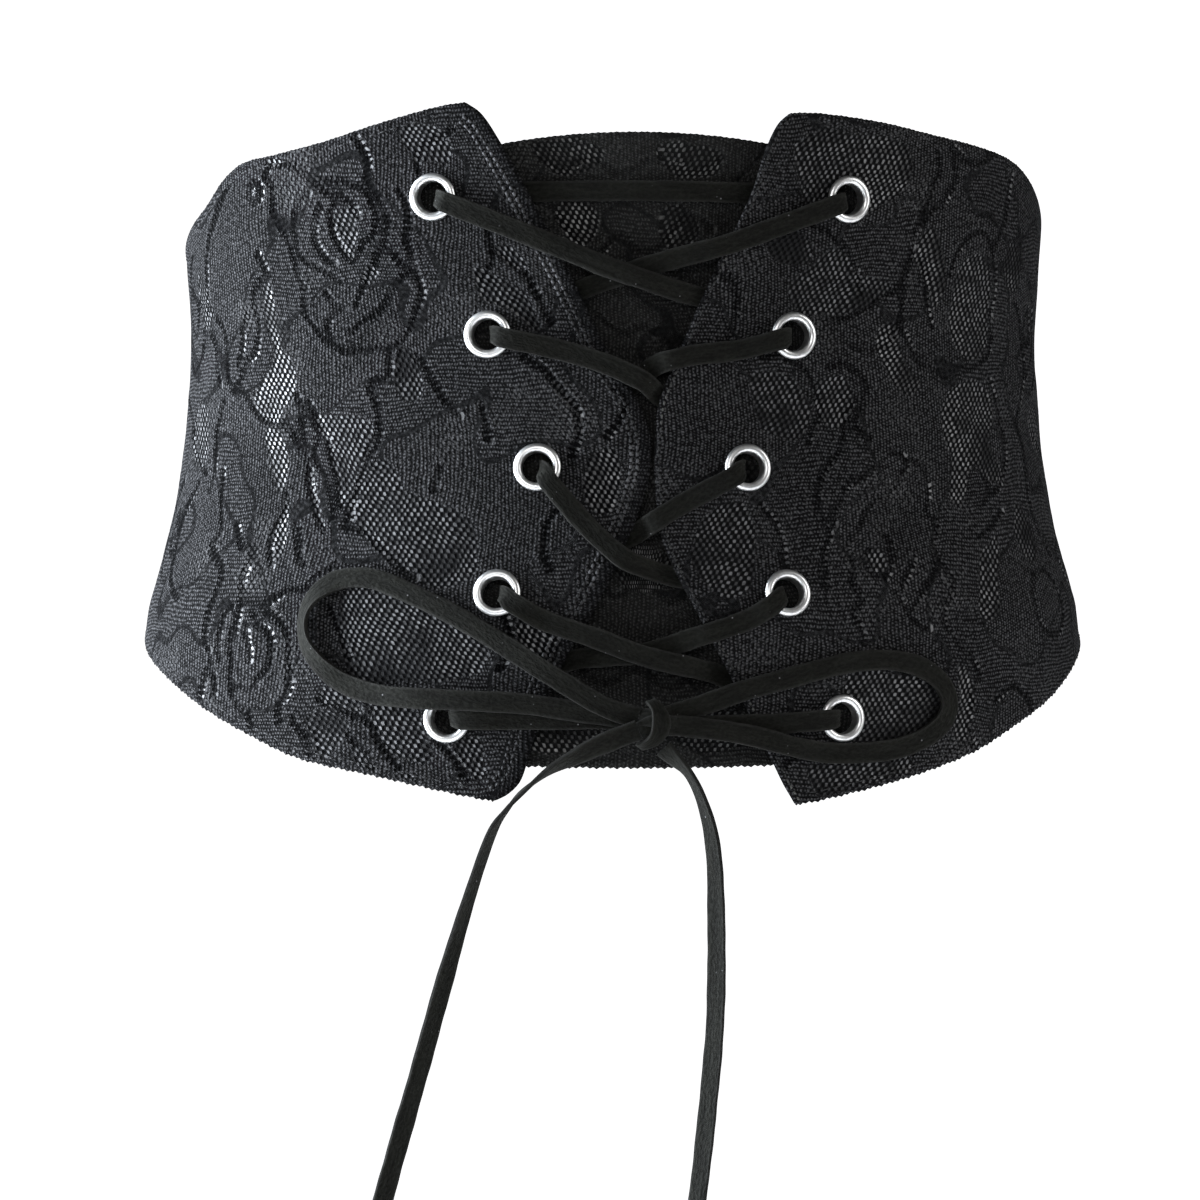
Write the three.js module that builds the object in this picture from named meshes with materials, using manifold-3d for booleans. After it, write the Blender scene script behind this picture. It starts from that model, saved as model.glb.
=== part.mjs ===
// A wide lace-up belt for the waist: two front panels with pointed inner edges, laced over a
// panel that covers the opening, and a plain elastic band round the back.
// Millimetres, +Z up. The front faces -Y and the wearer's waistline is the plane z = 0.
import * as THREE from "three";
import { mergeVertices } from "three/addons/utils/BufferGeometryUtils.js";
import Module from "manifold-3d";

const wasm = await Module();
wasm.setup();

// The waist that the belt goes round, and the belt's own heights.
const WAIST_WIDTH = 241.6;
const WAIST_DEPTH = 174;
const FRONT_HEIGHT = 187;
const LACED_OPENING = 86;

// Sheets. A reach is measured along the wall from the middle of the front.
const PANEL_REACH = 176;
const PANEL_THICKNESS = 1.8;
const COVER_WIDTH = 156;
const COVER_HEIGHT = 169;
const COVER_THICKNESS = 1.2;
const BAND_HEIGHT = 102;
const BAND_THICKNESS = 1.5;
const SEAM_LAP = 9;

// Eyelets and cord.
const EYELET_BORE = 8.2;
const EYELET_FLANGE = 12.7;
const EYELET_CROWN = 1.0;
const EYELET_WALL = 0.45;
const WASHER_WIDTH = 10.8;
const WASHER_THICKNESS = 0.5;
const CORD_WIDTH = 5.5;
const CORD_THICKNESS = 1.2;
const KNOT_WIDTH = 8;
const KNOT_HEIGHT = 12;
const KNOT_THICKNESS = 7;

// The gap between neighbours, and the wider one where a flat ring or cord meets a rounded wall.
const CLEARANCE = 0.3;
const ROUND_GAP = 0.56;
const ROUND_SIDES = 12;

// Depths below the panels' outer face, which are negative, and heights above it. A cord's is to
// its middle.
const UNDER_PANEL = -(PANEL_THICKNESS + CLEARANCE);
const WASHER_FACE = -(PANEL_THICKNESS + ROUND_GAP);
const BACK_CORD = WASHER_FACE - WASHER_THICKNESS - ROUND_GAP - CORD_THICKNESS / 2;
const COVER_DEPTH = BACK_CORD - CORD_THICKNESS / 2 - ROUND_GAP;
const ON_PANEL = CLEARANCE + CORD_THICKNESS / 2;
const ON_EYELET = CLEARANCE + EYELET_CROWN + ROUND_GAP + CORD_THICKNESS / 2;

// The body's form: half a girth at each height, as a share of the waist's. Heights are shares of
// half the front height.
const BODY_FORM = [
  { height: -1.0, girth: 1.093 },
  { height: -0.64, girth: 1.091 },
  { height: -0.45, girth: 1.079 },
  { height: -0.35, girth: 1.06 },
  { height: -0.24, girth: 1.036 },
  { height: -0.12, girth: 1.015 },
  { height: 0.0, girth: 1.0 },
  { height: 0.26, girth: 0.982 },
  { height: 0.4, girth: 0.98 },
  { height: 0.62, girth: 0.992 },
  { height: 1.0, girth: 1.006 },
];

// Each panel's inner edge: its distance from the middle of the front, as a share of the laced
// opening's width at the top. Rise runs from the lower corner to the upper one.
const INNER_EDGE = [
  { rise: 0.0, left: 0.43, right: 0.432 },
  { rise: 0.01, left: 0.39, right: 0.42 },
  { rise: 0.03, left: 0.353, right: 0.396 },
  { rise: 0.08, left: 0.322, right: 0.347 },
  { rise: 0.2, left: 0.231, right: 0.227 },
  { rise: 0.26, left: 0.16, right: 0.165 },
  { rise: 0.36, left: 0.062, right: 0.068 },
  { rise: 0.42, left: 0.008, right: 0.042 },
  { rise: 0.47, left: -0.02, right: 0.035 },
  { rise: 0.5, left: -0.023, right: 0.034 },
  { rise: 0.53, left: -0.018, right: 0.038 },
  { rise: 0.58, left: 0.025, right: 0.052 },
  { rise: 0.65, left: 0.117, right: 0.115 },
  { rise: 0.75, left: 0.223, right: 0.208 },
  { rise: 0.88, left: 0.368, right: 0.341 },
  { rise: 0.95, left: 0.453, right: 0.391 },
  { rise: 0.985, left: 0.505, right: 0.429 },
  { rise: 1.0, left: 0.552, right: 0.466 },
];

// The panels' top and bottom edges: heights as shares of the front height. Along runs from the
// inner corner to the side seam.
const TOP_EDGE = [
  { along: 0.0, left: 0.501, right: 0.488 },
  { along: 0.06, left: 0.495, right: 0.489 },
  { along: 0.2, left: 0.472, right: 0.48 },
  { along: 0.32, left: 0.451, right: 0.467 },
  { along: 0.45, left: 0.436, right: 0.455 },
  { along: 0.55, left: 0.427, right: 0.444 },
  { along: 0.62, left: 0.406, right: 0.431 },
  { along: 0.7, left: 0.371, right: 0.408 },
  { along: 0.8, left: 0.345, right: 0.373 },
  { along: 0.9, left: 0.322, right: 0.339 },
  { along: 1.0, left: 0.305, right: 0.305 },
];
const BOTTOM_EDGE = [
  { along: 0.0, left: -0.49, right: -0.496 },
  { along: 0.05, left: -0.483, right: -0.49 },
  { along: 0.22, left: -0.455, right: -0.46 },
  { along: 0.37, left: -0.431, right: -0.425 },
  { along: 0.48, left: -0.398, right: -0.388 },
  { along: 0.59, left: -0.363, right: -0.352 },
  { along: 0.68, left: -0.332, right: -0.319 },
  { along: 0.77, left: -0.304, right: -0.29 },
  { along: 0.88, left: -0.277, right: -0.268 },
  { along: 1.0, left: -0.254, right: -0.254 },
];

// The cover's section: how far it has come forward from its own depth to the panels' back.
const COVER_FORM = [
  { across: 0.0, forward: 0.0 },
  { across: 0.4, forward: 0.0 },
  { across: 0.8, forward: 0.0 },
  { across: 0.9, forward: 0.6 },
  { across: 1.0, forward: 1.0 },
];
const COVER_MIDDLE = 0.009;
const COVER_TOP_DROP = 0.075;
const COVER_BOTTOM_RISE = 0.018;

// Eyelets from the top down: height as a share of the front height, distance from the middle as
// a share of the laced opening.
const EYELETS = [
  { height: 0.367, left: 0.659, right: 0.668 },
  { height: 0.171, left: 0.491, right: 0.491 },
  { height: -0.018, left: 0.327, right: 0.326 },
  { height: -0.196, left: 0.428, right: 0.419 },
  { height: -0.374, left: 0.563, right: 0.573 },
];

// A smooth curve through a table's rows, by cubic steps between neighbours.
function follow(table, key, value) {
  const rows = table.length;
  const slope = (i) => {
    const a = table[Math.max(i - 1, 0)];
    const b = table[Math.min(i + 1, rows - 1)];
    return (b[value] - a[value]) / (b[key] - a[key]);
  };
  return (x) => {
    if (x <= table[0][key]) return table[0][value];
    if (x >= table[rows - 1][key]) return table[rows - 1][value];
    let i = 0;
    while (table[i + 1][key] < x) i += 1;
    const step = table[i + 1][key] - table[i][key];
    const t = (x - table[i][key]) / step;
    const from = table[i][value];
    const to = table[i + 1][value];
    const ease = t * t * (3 - 2 * t);
    const leave = t * (1 - t) * (1 - t) * step * slope(i);
    const arrive = t * t * (t - 1) * step * slope(i + 1);
    return from + (to - from) * ease + leave + arrive;
  };
}

// The wall: an oval at each height. Across is measured along the waistline's oval.
const girthAt = follow(BODY_FORM, "height", "girth");
const ANGLE_STEPS = 720;
const arcs = [0];
for (let i = 1; i <= ANGLE_STEPS; i += 1) {
  const angle = ((i - 0.5) / ANGLE_STEPS) * Math.PI;
  const speed = Math.hypot((WAIST_WIDTH / 2) * Math.cos(angle), (WAIST_DEPTH / 2) * Math.sin(angle));
  arcs.push(arcs[i - 1] + (speed * Math.PI) / ANGLE_STEPS);
}
const BACK_ARC = arcs[ANGLE_STEPS];

function angleAt(across) {
  const distance = Math.min(Math.abs(across), BACK_ARC);
  let low = 0;
  let high = ANGLE_STEPS;
  while (high - low > 1) {
    const middle = Math.floor((low + high) / 2);
    if (arcs[middle] <= distance) low = middle;
    else high = middle;
  }
  const part = (distance - arcs[low]) / (arcs[high] - arcs[low]);
  return Math.sign(across) * ((low + part) / ANGLE_STEPS) * Math.PI;
}

function wall(across, up, out) {
  const girth = girthAt(up / (FRONT_HEIGHT / 2));
  const a = (WAIST_WIDTH / 2) * girth;
  const b = (WAIST_DEPTH / 2) * girth;
  const sine = Math.sin(angleAt(across));
  const cosine = Math.cos(angleAt(across));
  const length = Math.hypot(b * sine, a * cosine);
  const x = a * sine + (out * b * sine) / length;
  const y = -b * cosine - (out * a * cosine) / length;
  return new THREE.Vector3(x, y, up);
}

// The wall's own directions at a point: along it, up it and out of it.
function wallFrame(across, up) {
  const step = 0.5;
  const along = wall(across + step, up, 0).sub(wall(across - step, up, 0)).normalize();
  const rising = wall(across, up + step, 0).sub(wall(across, up - step, 0)).normalize();
  const outward = new THREE.Vector3().crossVectors(along, rising).normalize();
  const upward = new THREE.Vector3().crossVectors(outward, along).normalize();
  return { along, upward, outward };
}

function geometryOf(vertices, faces) {
  const geometry = new THREE.BufferGeometry();
  const flat = vertices.flatMap((v) => [v.x, v.y, v.z]);
  geometry.setAttribute("position", new THREE.Float32BufferAttribute(flat, 3));
  geometry.setIndex(faces);
  geometry.computeVertexNormals();
  return geometry;
}

// A closed sheet from two grids of points, outer and inner, both as rows over columns.
function sheet(columns, rows, outer, inner) {
  const vertices = [];
  const faces = [];
  const at = (side, i, j) => (side * (columns + 1) + i) * (rows + 1) + j;
  for (const side of [outer, inner])
    for (let i = 0; i <= columns; i += 1)
      for (let j = 0; j <= rows; j += 1) vertices.push(side(i / columns, j / rows));
  const quad = (a, b, c, d) => faces.push(a, b, c, a, c, d);
  for (let i = 0; i < columns; i += 1)
    for (let j = 0; j < rows; j += 1) {
      quad(at(0, i, j), at(0, i + 1, j), at(0, i + 1, j + 1), at(0, i, j + 1));
      quad(at(1, i, j), at(1, i, j + 1), at(1, i + 1, j + 1), at(1, i + 1, j));
    }
  for (let i = 0; i < columns; i += 1) {
    quad(at(0, i + 1, 0), at(0, i, 0), at(1, i, 0), at(1, i + 1, 0));
    quad(at(0, i, rows), at(0, i + 1, rows), at(1, i + 1, rows), at(1, i, rows));
  }
  for (let j = 0; j < rows; j += 1) {
    quad(at(0, 0, j), at(0, 0, j + 1), at(1, 0, j + 1), at(1, 0, j));
    quad(at(0, columns, j + 1), at(0, columns, j), at(1, columns, j), at(1, columns, j + 1));
  }
  return geometryOf(vertices, faces);
}

// Joining and cutting.
function solidOf(geometry) {
  const bare = geometry.clone();
  bare.deleteAttribute("normal");
  bare.deleteAttribute("uv");
  const merged = mergeVertices(bare, 1e-4);
  const mesh = new wasm.Mesh({
    numProp: 3,
    vertProperties: new Float32Array(merged.attributes.position.array),
    triVerts: new Uint32Array(merged.index.array),
  });
  return new wasm.Manifold(mesh);
}

function cut(geometry, cutters) {
  let solid = solidOf(geometry);
  for (const cutter of cutters) solid = solid.subtract(solidOf(cutter));
  const mesh = solid.getMesh();
  const result = new THREE.BufferGeometry();
  result.setAttribute("position", new THREE.Float32BufferAttribute(mesh.vertProperties, 3));
  result.setIndex(new THREE.BufferAttribute(mesh.triVerts, 1));
  result.computeVertexNormals();
  return result;
}

// Materials.
const lace = new THREE.MeshStandardMaterial({ color: 0x17171a, roughness: 0.6, metalness: 0 });
const coverCloth = new THREE.MeshStandardMaterial({ color: 0x141416, roughness: 0.7, metalness: 0 });
const elastic = new THREE.MeshStandardMaterial({ color: 0x111113, roughness: 0.85, metalness: 0 });
const nickel = new THREE.MeshStandardMaterial({ color: 0xd4d4d2, roughness: 0.2, metalness: 1 });
const suede = new THREE.MeshStandardMaterial({ color: 0x1f1e1b, roughness: 0.95, metalness: 0 });

const belt = new THREE.Group();
function add(name, geometry, material) {
  const mesh = new THREE.Mesh(geometry, material);
  mesh.name = name;
  belt.add(mesh);
  return mesh;
}

// Eyelet places, with the side's sign: -1 is the left of a viewer in front.
function eyeletPlace(side, row) {
  const place = EYELETS[row - 1];
  const share = side < 0 ? place.left : place.right;
  return { across: side * share * LACED_OPENING, up: place.height * FRONT_HEIGHT };
}

// Front panels.
const PANEL_COLUMNS = 18;
const PANEL_ROWS = 24;
const CORNER_CROWDING = 0.45;

function panelPoint(side, out) {
  const column = side < 0 ? "left" : "right";
  const innerAt = follow(INNER_EDGE, "rise", column);
  const topAt = follow(TOP_EDGE, "along", column);
  const bottomAt = follow(BOTTOM_EDGE, "along", column);
  return (i, j) => {
    const along = side < 0 ? 1 - i : i;
    const rise = j - (CORNER_CROWDING * Math.sin(2 * Math.PI * j)) / (2 * Math.PI);
    const inner = innerAt(rise) * LACED_OPENING;
    const bottom = bottomAt(along) * FRONT_HEIGHT;
    const top = topAt(along) * FRONT_HEIGHT;
    const across = side * (inner + (PANEL_REACH - inner) * along);
    return wall(across, bottom + (top - bottom) * rise, out);
  };
}

function eyeletHole(side, row) {
  const { across, up } = eyeletPlace(side, row);
  const frame = wallFrame(across, up);
  const radius = (EYELET_BORE / 2 + EYELET_WALL + CLEARANCE) / Math.cos(Math.PI / ROUND_SIDES);
  const hole = new THREE.CylinderGeometry(radius, radius, 6 * PANEL_THICKNESS, ROUND_SIDES);
  const turn = new THREE.Matrix4().makeBasis(frame.along, frame.outward, frame.upward.negate());
  return hole.applyMatrix4(turn.setPosition(wall(across, up, -PANEL_THICKNESS / 2)));
}

function panel(side) {
  const face = panelPoint(side, 0);
  const lining = panelPoint(side, -PANEL_THICKNESS);
  const blank = sheet(PANEL_COLUMNS, PANEL_ROWS, face, lining);
  return cut(
    blank,
    EYELETS.map((place, i) => eyeletHole(side, i + 1)),
  );
}
add("panel_left", panel(-1), lace);
add("panel_right", panel(1), lace);

// The cover behind the opening. Its side edges come forward to the panels' backs.
function coverPoint(out) {
  const forwardAt = follow(COVER_FORM, "across", "forward");
  const lift = UNDER_PANEL - COVER_DEPTH;
  const half = COVER_WIDTH / 2;
  return (i, j) => {
    const share = 2 * i - 1;
    const top = COVER_HEIGHT * (0.5 + COVER_MIDDLE - COVER_TOP_DROP * share * share);
    const bottom = COVER_HEIGHT * (COVER_MIDDLE - 0.5 + COVER_BOTTOM_RISE * share * share);
    const depth = COVER_DEPTH + lift * forwardAt(Math.abs(share));
    return wall(share * half, bottom + (top - bottom) * j, depth + out);
  };
}
add("modesty_panel", sheet(20, 13, coverPoint(0), coverPoint(-COVER_THICKNESS)), coverCloth);

// The elastic band, from one side seam round the back to the other, lapped under the panels.
function bandPoint(out) {
  const start = PANEL_REACH - SEAM_LAP;
  const length = 2 * (BACK_ARC - start);
  const seamMiddle = ((TOP_EDGE.at(-1).left + BOTTOM_EDGE.at(-1).left) / 2) * FRONT_HEIGHT;
  return (i, j) => {
    const distance = start + length * i;
    const across = distance > BACK_ARC ? distance - 2 * BACK_ARC : distance;
    return wall(across, seamMiddle + BAND_HEIGHT * (j - 0.5), UNDER_PANEL + out);
  };
}
add("back_elastic", sheet(26, 7, bandPoint(0), bandPoint(-BAND_THICKNESS)), elastic);

// Eyelets: a barrel with a domed flange in front and a washer behind.
function eyelet(side, row) {
  const bore = EYELET_BORE / 2;
  const barrel = bore + EYELET_WALL;
  const flange = EYELET_FLANGE / 2;
  const washer = WASHER_WIDTH / 2;
  const crown = CLEARANCE + EYELET_CROWN;
  const profile = [
    [bore, WASHER_FACE - WASHER_THICKNESS],
    [washer, WASHER_FACE - WASHER_THICKNESS],
    [washer, WASHER_FACE],
    [barrel, WASHER_FACE],
    [barrel, CLEARANCE],
    [flange, CLEARANCE],
    [flange - 0.15 * EYELET_CROWN, CLEARANCE + 0.5 * EYELET_CROWN],
    [(flange + bore) / 2, crown],
    [bore + 0.4 * EYELET_CROWN, CLEARANCE + 0.75 * EYELET_CROWN],
    [bore, CLEARANCE],
    [bore, WASHER_FACE - WASHER_THICKNESS],
  ].map(([radius, height]) => new THREE.Vector2(radius, height));
  const ring = new THREE.LatheGeometry(profile, ROUND_SIDES);
  const { across, up } = eyeletPlace(side, row);
  const frame = wallFrame(across, up);
  const turn = new THREE.Matrix4().makeBasis(frame.along, frame.outward, frame.upward.negate());
  return ring.applyMatrix4(turn.setPosition(wall(across, up, 0)));
}
for (const side of [-1, 1])
  for (let row = 1; row <= EYELETS.length; row += 1)
    add("eyelet_" + (side < 0 ? "left_" : "right_") + row, eyelet(side, row), nickel);

// A flat cord laid along the wall. Each stop is across, up and out, the width's share, and a
// roll in degrees from lying flat. Heading may fix the direction that the flat side follows.
function flatCord(stops) {
  const places = stops.map((stop) => stop.place ?? wall(stop.across, stop.up, stop.out));
  const vertices = [];
  let last = null;
  stops.forEach((stop, i) => {
    const before = places[Math.max(i - 1, 0)];
    const after = places[Math.min(i + 1, places.length - 1)];
    const tangent = new THREE.Vector3().subVectors(after, before).normalize();
    const { along, upward, outward } = stop.frame ?? wallFrame(stop.across, stop.up);
    const heading = stop.heading
      ? along.clone().multiplyScalar(stop.heading[0]).addScaledVector(upward, stop.heading[1])
      : tangent.clone();
    const across = new THREE.Vector3().crossVectors(outward, heading);
    across.addScaledVector(tangent, -across.dot(tangent)).normalize();
    if (last && across.dot(last) < 0) across.negate();
    last = across.clone();
    across.applyAxisAngle(tangent, THREE.MathUtils.degToRad(stop.roll ?? 0));
    const face = new THREE.Vector3().crossVectors(tangent, across);
    const half = (CORD_WIDTH / 2) * (stop.width ?? 1);
    for (const [u, v] of [[-1, -1], [1, -1], [1, 1], [-1, 1]]) {
      const corner = places[i].clone().addScaledVector(across, u * half);
      vertices.push(corner.addScaledVector(face, (v * CORD_THICKNESS) / 2));
    }
  });
  const faces = [0, 2, 1, 0, 3, 2];
  const end = vertices.length - 4;
  faces.push(end, end + 1, end + 2, end, end + 2, end + 3);
  for (let i = 0; i + 4 < vertices.length; i += 4)
    for (let k = 0; k < 4; k += 1) {
      const next = (k + 1) % 4;
      faces.push(i + k, i + next, i + 4 + next, i + k, i + 4 + next, i + 4 + k);
    }
  return geometryOf(vertices, faces);
}

// Points along a smooth curve through a cord's stops, about one every STOP_GAP.
const STOP_GAP = 7;
function eased(stops) {
  const result = [];
  for (let i = 0; i + 1 < stops.length; i += 1) {
    const last = stops.length - 1;
    const around = [Math.max(i - 1, 0), i, i + 1, Math.min(i + 2, last)].map((k) => stops[k]);
    const run = Math.hypot(
      around[2].across - around[1].across,
      around[2].up - around[1].up,
      around[2].out - around[1].out,
    );
    const parts = Math.max(1, Math.round(run / STOP_GAP));
    for (let k = 0; k < parts; k += 1) {
      const t = k / parts;
      const mix = (key) => {
        const [p, q, r, s] = around.map((stop) => stop[key] ?? 0);
        const bend = (2 * p - 5 * q + 4 * r - s) * t + (3 * q - p - 3 * r + s) * t * t;
        return q + (t / 2) * (r - p + bend);
      };
      result.push({ across: mix("across"), up: mix("up"), out: mix("out"), roll: mix("roll") });
    }
  }
  result.push(stops.at(-1));
  return result;
}

// The cord's turn through an eyelet: up from behind the panel, through the bore and away over
// the flange. From and to are the directions in which its two runs leave the eyelet.
const TURN_INSET = 1.1;
const TURN_PINCH = 0.22;
function turnThrough(side, row, from, to) {
  const { across, up } = eyeletPlace(side, row);
  const frame = wallFrame(across, up);
  const radius = (ON_EYELET - BACK_CORD) / 2;
  const middle = (ON_EYELET + BACK_CORD) / 2;
  const stops = [];
  for (let step = -3; step <= 3; step += 1) {
    const angle = (step * Math.PI) / 6;
    const blend = (step + 3) / 6;
    const heading = new THREE.Vector2(...from).lerp(new THREE.Vector2(...to), blend).normalize();
    const reach = TURN_INSET + radius * (1 - Math.cos(angle));
    const out = middle + radius * Math.sin(angle);
    const place = wall(across, up, 0)
      .addScaledVector(frame.along, heading.x * reach)
      .addScaledVector(frame.upward, heading.y * reach)
      .addScaledVector(frame.outward, out);
    stops.push({
      across: across + heading.x * reach,
      up: up + heading.y * reach,
      out,
      place,
      frame,
      width: 1 - TURN_PINCH * Math.cos(angle),
      heading: [heading.x, heading.y],
    });
  }
  return stops;
}

// The lacing from the knot and back to it. Each run lists the stops between two eyelets, and
// starts and ends over or under them.
const KNOT_ACROSS = 1.9;
const KNOT_UP = -70.7;
const KNOT_LEFT = KNOT_ACROSS - KNOT_WIDTH / 2 - CLEARANCE;
const KNOT_RIGHT = KNOT_ACROSS + KNOT_WIDTH / 2 + CLEARANCE;
const stop = (across, up, out, roll = 0) => ({ across, up, out, roll });
const LACING = [
  { stops: [stop(KNOT_LEFT, -70, ON_PANEL + 0.3), stop(-12, -69.8, ON_PANEL),
            stop(-30, -70, ON_PANEL)] },
  { eyelet: [-1, 5] },
  { stops: [stop(-33.6, -62.3, BACK_CORD), stop(-20, -55, BACK_CORD), stop(-10, -53.4, -2.5),
            stop(-1, -52.6, -1.6), stop(6.2, -50.6, -1.6), stop(12, -48.4, -0.1),
            stop(15.4, -47.3, ON_PANEL), stop(25, -43.8, ON_PANEL)] },
  { eyelet: [1, 4] },
  { stops: [stop(22.5, -34.5, BACK_CORD), stop(10, -32.8, -3.4), stop(4.6, -31.6, -2.6),
            stop(-0.5, -29.8, -0.6), stop(-4.9, -27.9, ON_PANEL), stop(-10, -23.6, ON_PANEL),
            stop(-16.2, -17.4, ON_PANEL)] },
  { eyelet: [-1, 3] },
  { stops: [stop(-14.1, 9.3, BACK_CORD), stop(-8, 14, BACK_CORD), stop(-2.6, 18.7, -3.6),
            stop(1.3, 22, -3.1), stop(3.6, 23.7, -1.9), stop(5.6, 24.6, 0.3),
            stop(7.6, 25.1, ON_PANEL + 0.2), stop(14, 26.5, ON_PANEL), stop(26, 27.9, ON_PANEL)] },
  { eyelet: [1, 2] },
  { stops: [stop(28.2, 38.6, BACK_CORD), stop(20.5, 41.2, -3.4), stop(12, 43, -1.8),
            stop(5, 44.9, 0.1), stop(-1, 46.8, ON_PANEL), stop(-10, 49.8, ON_PANEL),
            stop(-21, 54.3, ON_PANEL)] },
  { eyelet: [-1, 1] },
  { stops: [stop(-30, 69.9, BACK_CORD), stop(0, 70.2, BACK_CORD), stop(30, 69.9, BACK_CORD)] },
  { eyelet: [1, 1] },
  { stops: [stop(26.3, 57.1, ON_PANEL), stop(19.5, 55, ON_PANEL), stop(12, 53, -0.1),
            stop(2.1, 50.3, -1.4), stop(-8, 47, -2.6), stop(-17.5, 43.6, BACK_CORD),
            stop(-28.2, 38.6, BACK_CORD)] },
  { eyelet: [-1, 2] },
  { stops: [stop(-22.1, 27.7, ON_PANEL), stop(-10, 24, ON_PANEL), stop(-3, 21, ON_PANEL),
            stop(0, 19.5, ON_PANEL), stop(2, 18, -0.2), stop(4.4, 16, -3),
            stop(10, 12.8, BACK_CORD), stop(16.4, 8, BACK_CORD)] },
  { eyelet: [1, 3] },
  { stops: [stop(12, -12, ON_PANEL), stop(6.2, -15.4, ON_PANEL), stop(2.4, -17.9, ON_PANEL),
            stop(0.7, -19.1, -1), stop(-1.1, -20.4, -3), stop(-4, -22, -3.6),
            stop(-9, -24.6, BACK_CORD), stop(-21.5, -30.6, BACK_CORD)] },
  { eyelet: [-1, 4] },
  { stops: [stop(-24.8, -43.9, ON_PANEL), stop(-12, -48.7, ON_PANEL), stop(-3, -52.4, ON_PANEL),
            stop(4, -54.6, ON_PANEL), stop(9, -55.8, 0.4), stop(13.5, -56.9, -1.5),
            stop(18.5, -58.4, -3.4), stop(29.4, -64, BACK_CORD)] },
  { eyelet: [1, 5] },
  { stops: [stop(30, -71.3, ON_PANEL), stop(15, -71.6, ON_PANEL),
            stop(KNOT_RIGHT, -71, ON_PANEL + 0.3)] },
];

function directionFrom(place, target) {
  const away = new THREE.Vector2(target.across - place.across, target.up - place.up).normalize();
  return [away.x, away.y];
}

function lacing() {
  const all = [];
  let run = [];
  LACING.forEach((entry, i) => {
    if (entry.stops) {
      run.push(...entry.stops);
      return;
    }
    const place = eyeletPlace(...entry.eyelet);
    const before = directionFrom(place, LACING[i - 1].stops.at(-1));
    const after = directionFrom(place, LACING[i + 1].stops[0]);
    const backFirst = LACING[i - 1].stops.at(-1).out < 0;
    const turn = backFirst
      ? turnThrough(...entry.eyelet, before, after)
      : turnThrough(...entry.eyelet, after, before).reverse();
    const clear = EYELET_FLANGE / 2 + TURN_INSET;
    const beside = ([x, y]) => ({
      across: place.across + x * clear,
      up: place.up + y * clear,
      out: ON_EYELET,
      roll: 0,
    });
    if (!backFirst) run.push(beside(before));
    run.push(turn[0]);
    all.push(...eased(run).slice(0, -1), ...turn.slice(0, -1));
    run = [turn.at(-1)];
    if (backFirst) run.push(beside(after));
  });
  all.push(...eased(run));
  return flatCord(all);
}
add("lacing", lacing(), suede);

// The bow: its knot, two loops and two tails.
function knot() {
  const radius = KNOT_WIDTH / 3;
  const x = KNOT_WIDTH / 2 - radius;
  const y = KNOT_HEIGHT / 2 - radius;
  const outline = new THREE.Shape();
  outline.absarc(x, y, radius, 0, Math.PI / 2);
  outline.absarc(-x, y, radius, Math.PI / 2, Math.PI);
  outline.absarc(-x, -y, radius, Math.PI, 1.5 * Math.PI);
  outline.absarc(x, -y, radius, 1.5 * Math.PI, 2 * Math.PI);
  const solid = new THREE.ExtrudeGeometry(outline, {
    depth: KNOT_THICKNESS,
    bevelEnabled: false,
    curveSegments: 5,
  });
  const { along, upward, outward } = wallFrame(KNOT_ACROSS, KNOT_UP);
  const turn = new THREE.Matrix4().makeBasis(along, upward, outward);
  return solid.applyMatrix4(turn.setPosition(wall(KNOT_ACROSS, KNOT_UP, 0)));
}
add("bow_knot", knot(), suede);

const LOOP_LEFT = [
  stop(KNOT_LEFT, -69.4, 4.2), stop(-10.5, -66.4, 4.4), stop(-23.2, -58, 4.2),
  stop(-36.3, -49, 2.6), stop(-49.4, -41.1, 1.5), stop(-63.6, -34.7, ON_PANEL),
  stop(-71, -32.6, ON_PANEL), stop(-79, -33.4, ON_PANEL), stop(-84.2, -37.6, 1.2),
  stop(-86, -43.8, 1.4), stop(-84.8, -50, 1.4), stop(-81, -55.6, 1.2),
  stop(-74.7, -60.6, ON_PANEL), stop(-65.5, -63.5, 2), stop(-55.4, -64.4, 3.9),
  stop(-42.4, -65, 4.1), stop(-29.6, -65.8, 3.2), stop(-16.9, -67.8, 2.8),
  stop(KNOT_LEFT, -70, 2.8),
];
const LOOP_RIGHT = [
  stop(KNOT_RIGHT, -68.6, 2.9), stop(15, -65.5, 2.7), stop(23.8, -62.3, 2.2),
  stop(32.7, -59.8, 1.6), stop(41.8, -57.3, 1.2), stop(51.4, -55.1, ON_PANEL),
  stop(61.2, -54.5, ON_PANEL), stop(70, -56.1, ON_PANEL), stop(76.4, -60.1, 1.2),
  stop(79.1, -65.3, 1.4), stop(77.9, -70.5, 1.2), stop(72.7, -74.9, ON_PANEL),
  stop(64.3, -78, ON_PANEL), stop(54.4, -79.1, ON_PANEL), stop(44.9, -79, 1.3),
  stop(35.6, -77.3, 3), stop(26.7, -74.7, 3.2), stop(17.7, -72.9, 4.2),
  stop(KNOT_RIGHT, -71.4, 4.4),
];
const TAIL_LEFT = [
  stop(KNOT_LEFT, -72.6, 5.9), stop(-10.5, -76.2, 5.7, -15), stop(-16.9, -79.7, 4.8, -45),
  stop(-23.2, -83.4, 4.4, -75), stop(-29.4, -88.9, 4.2, -98), stop(-33.4, -93.9, 4.2, -90),
  stop(-37.1, -100.7, 4.4, -78), stop(-42.7, -119.1, 5, -70), stop(-48.1, -140.2, 6.2, -50),
  stop(-53.3, -162.1, 7.4, -47), stop(-58, -181.3, 8.4, -41), stop(-61.4, -195.5, 9, -40),
  stop(-65.2, -212, 9.6, -40),
];
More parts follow.
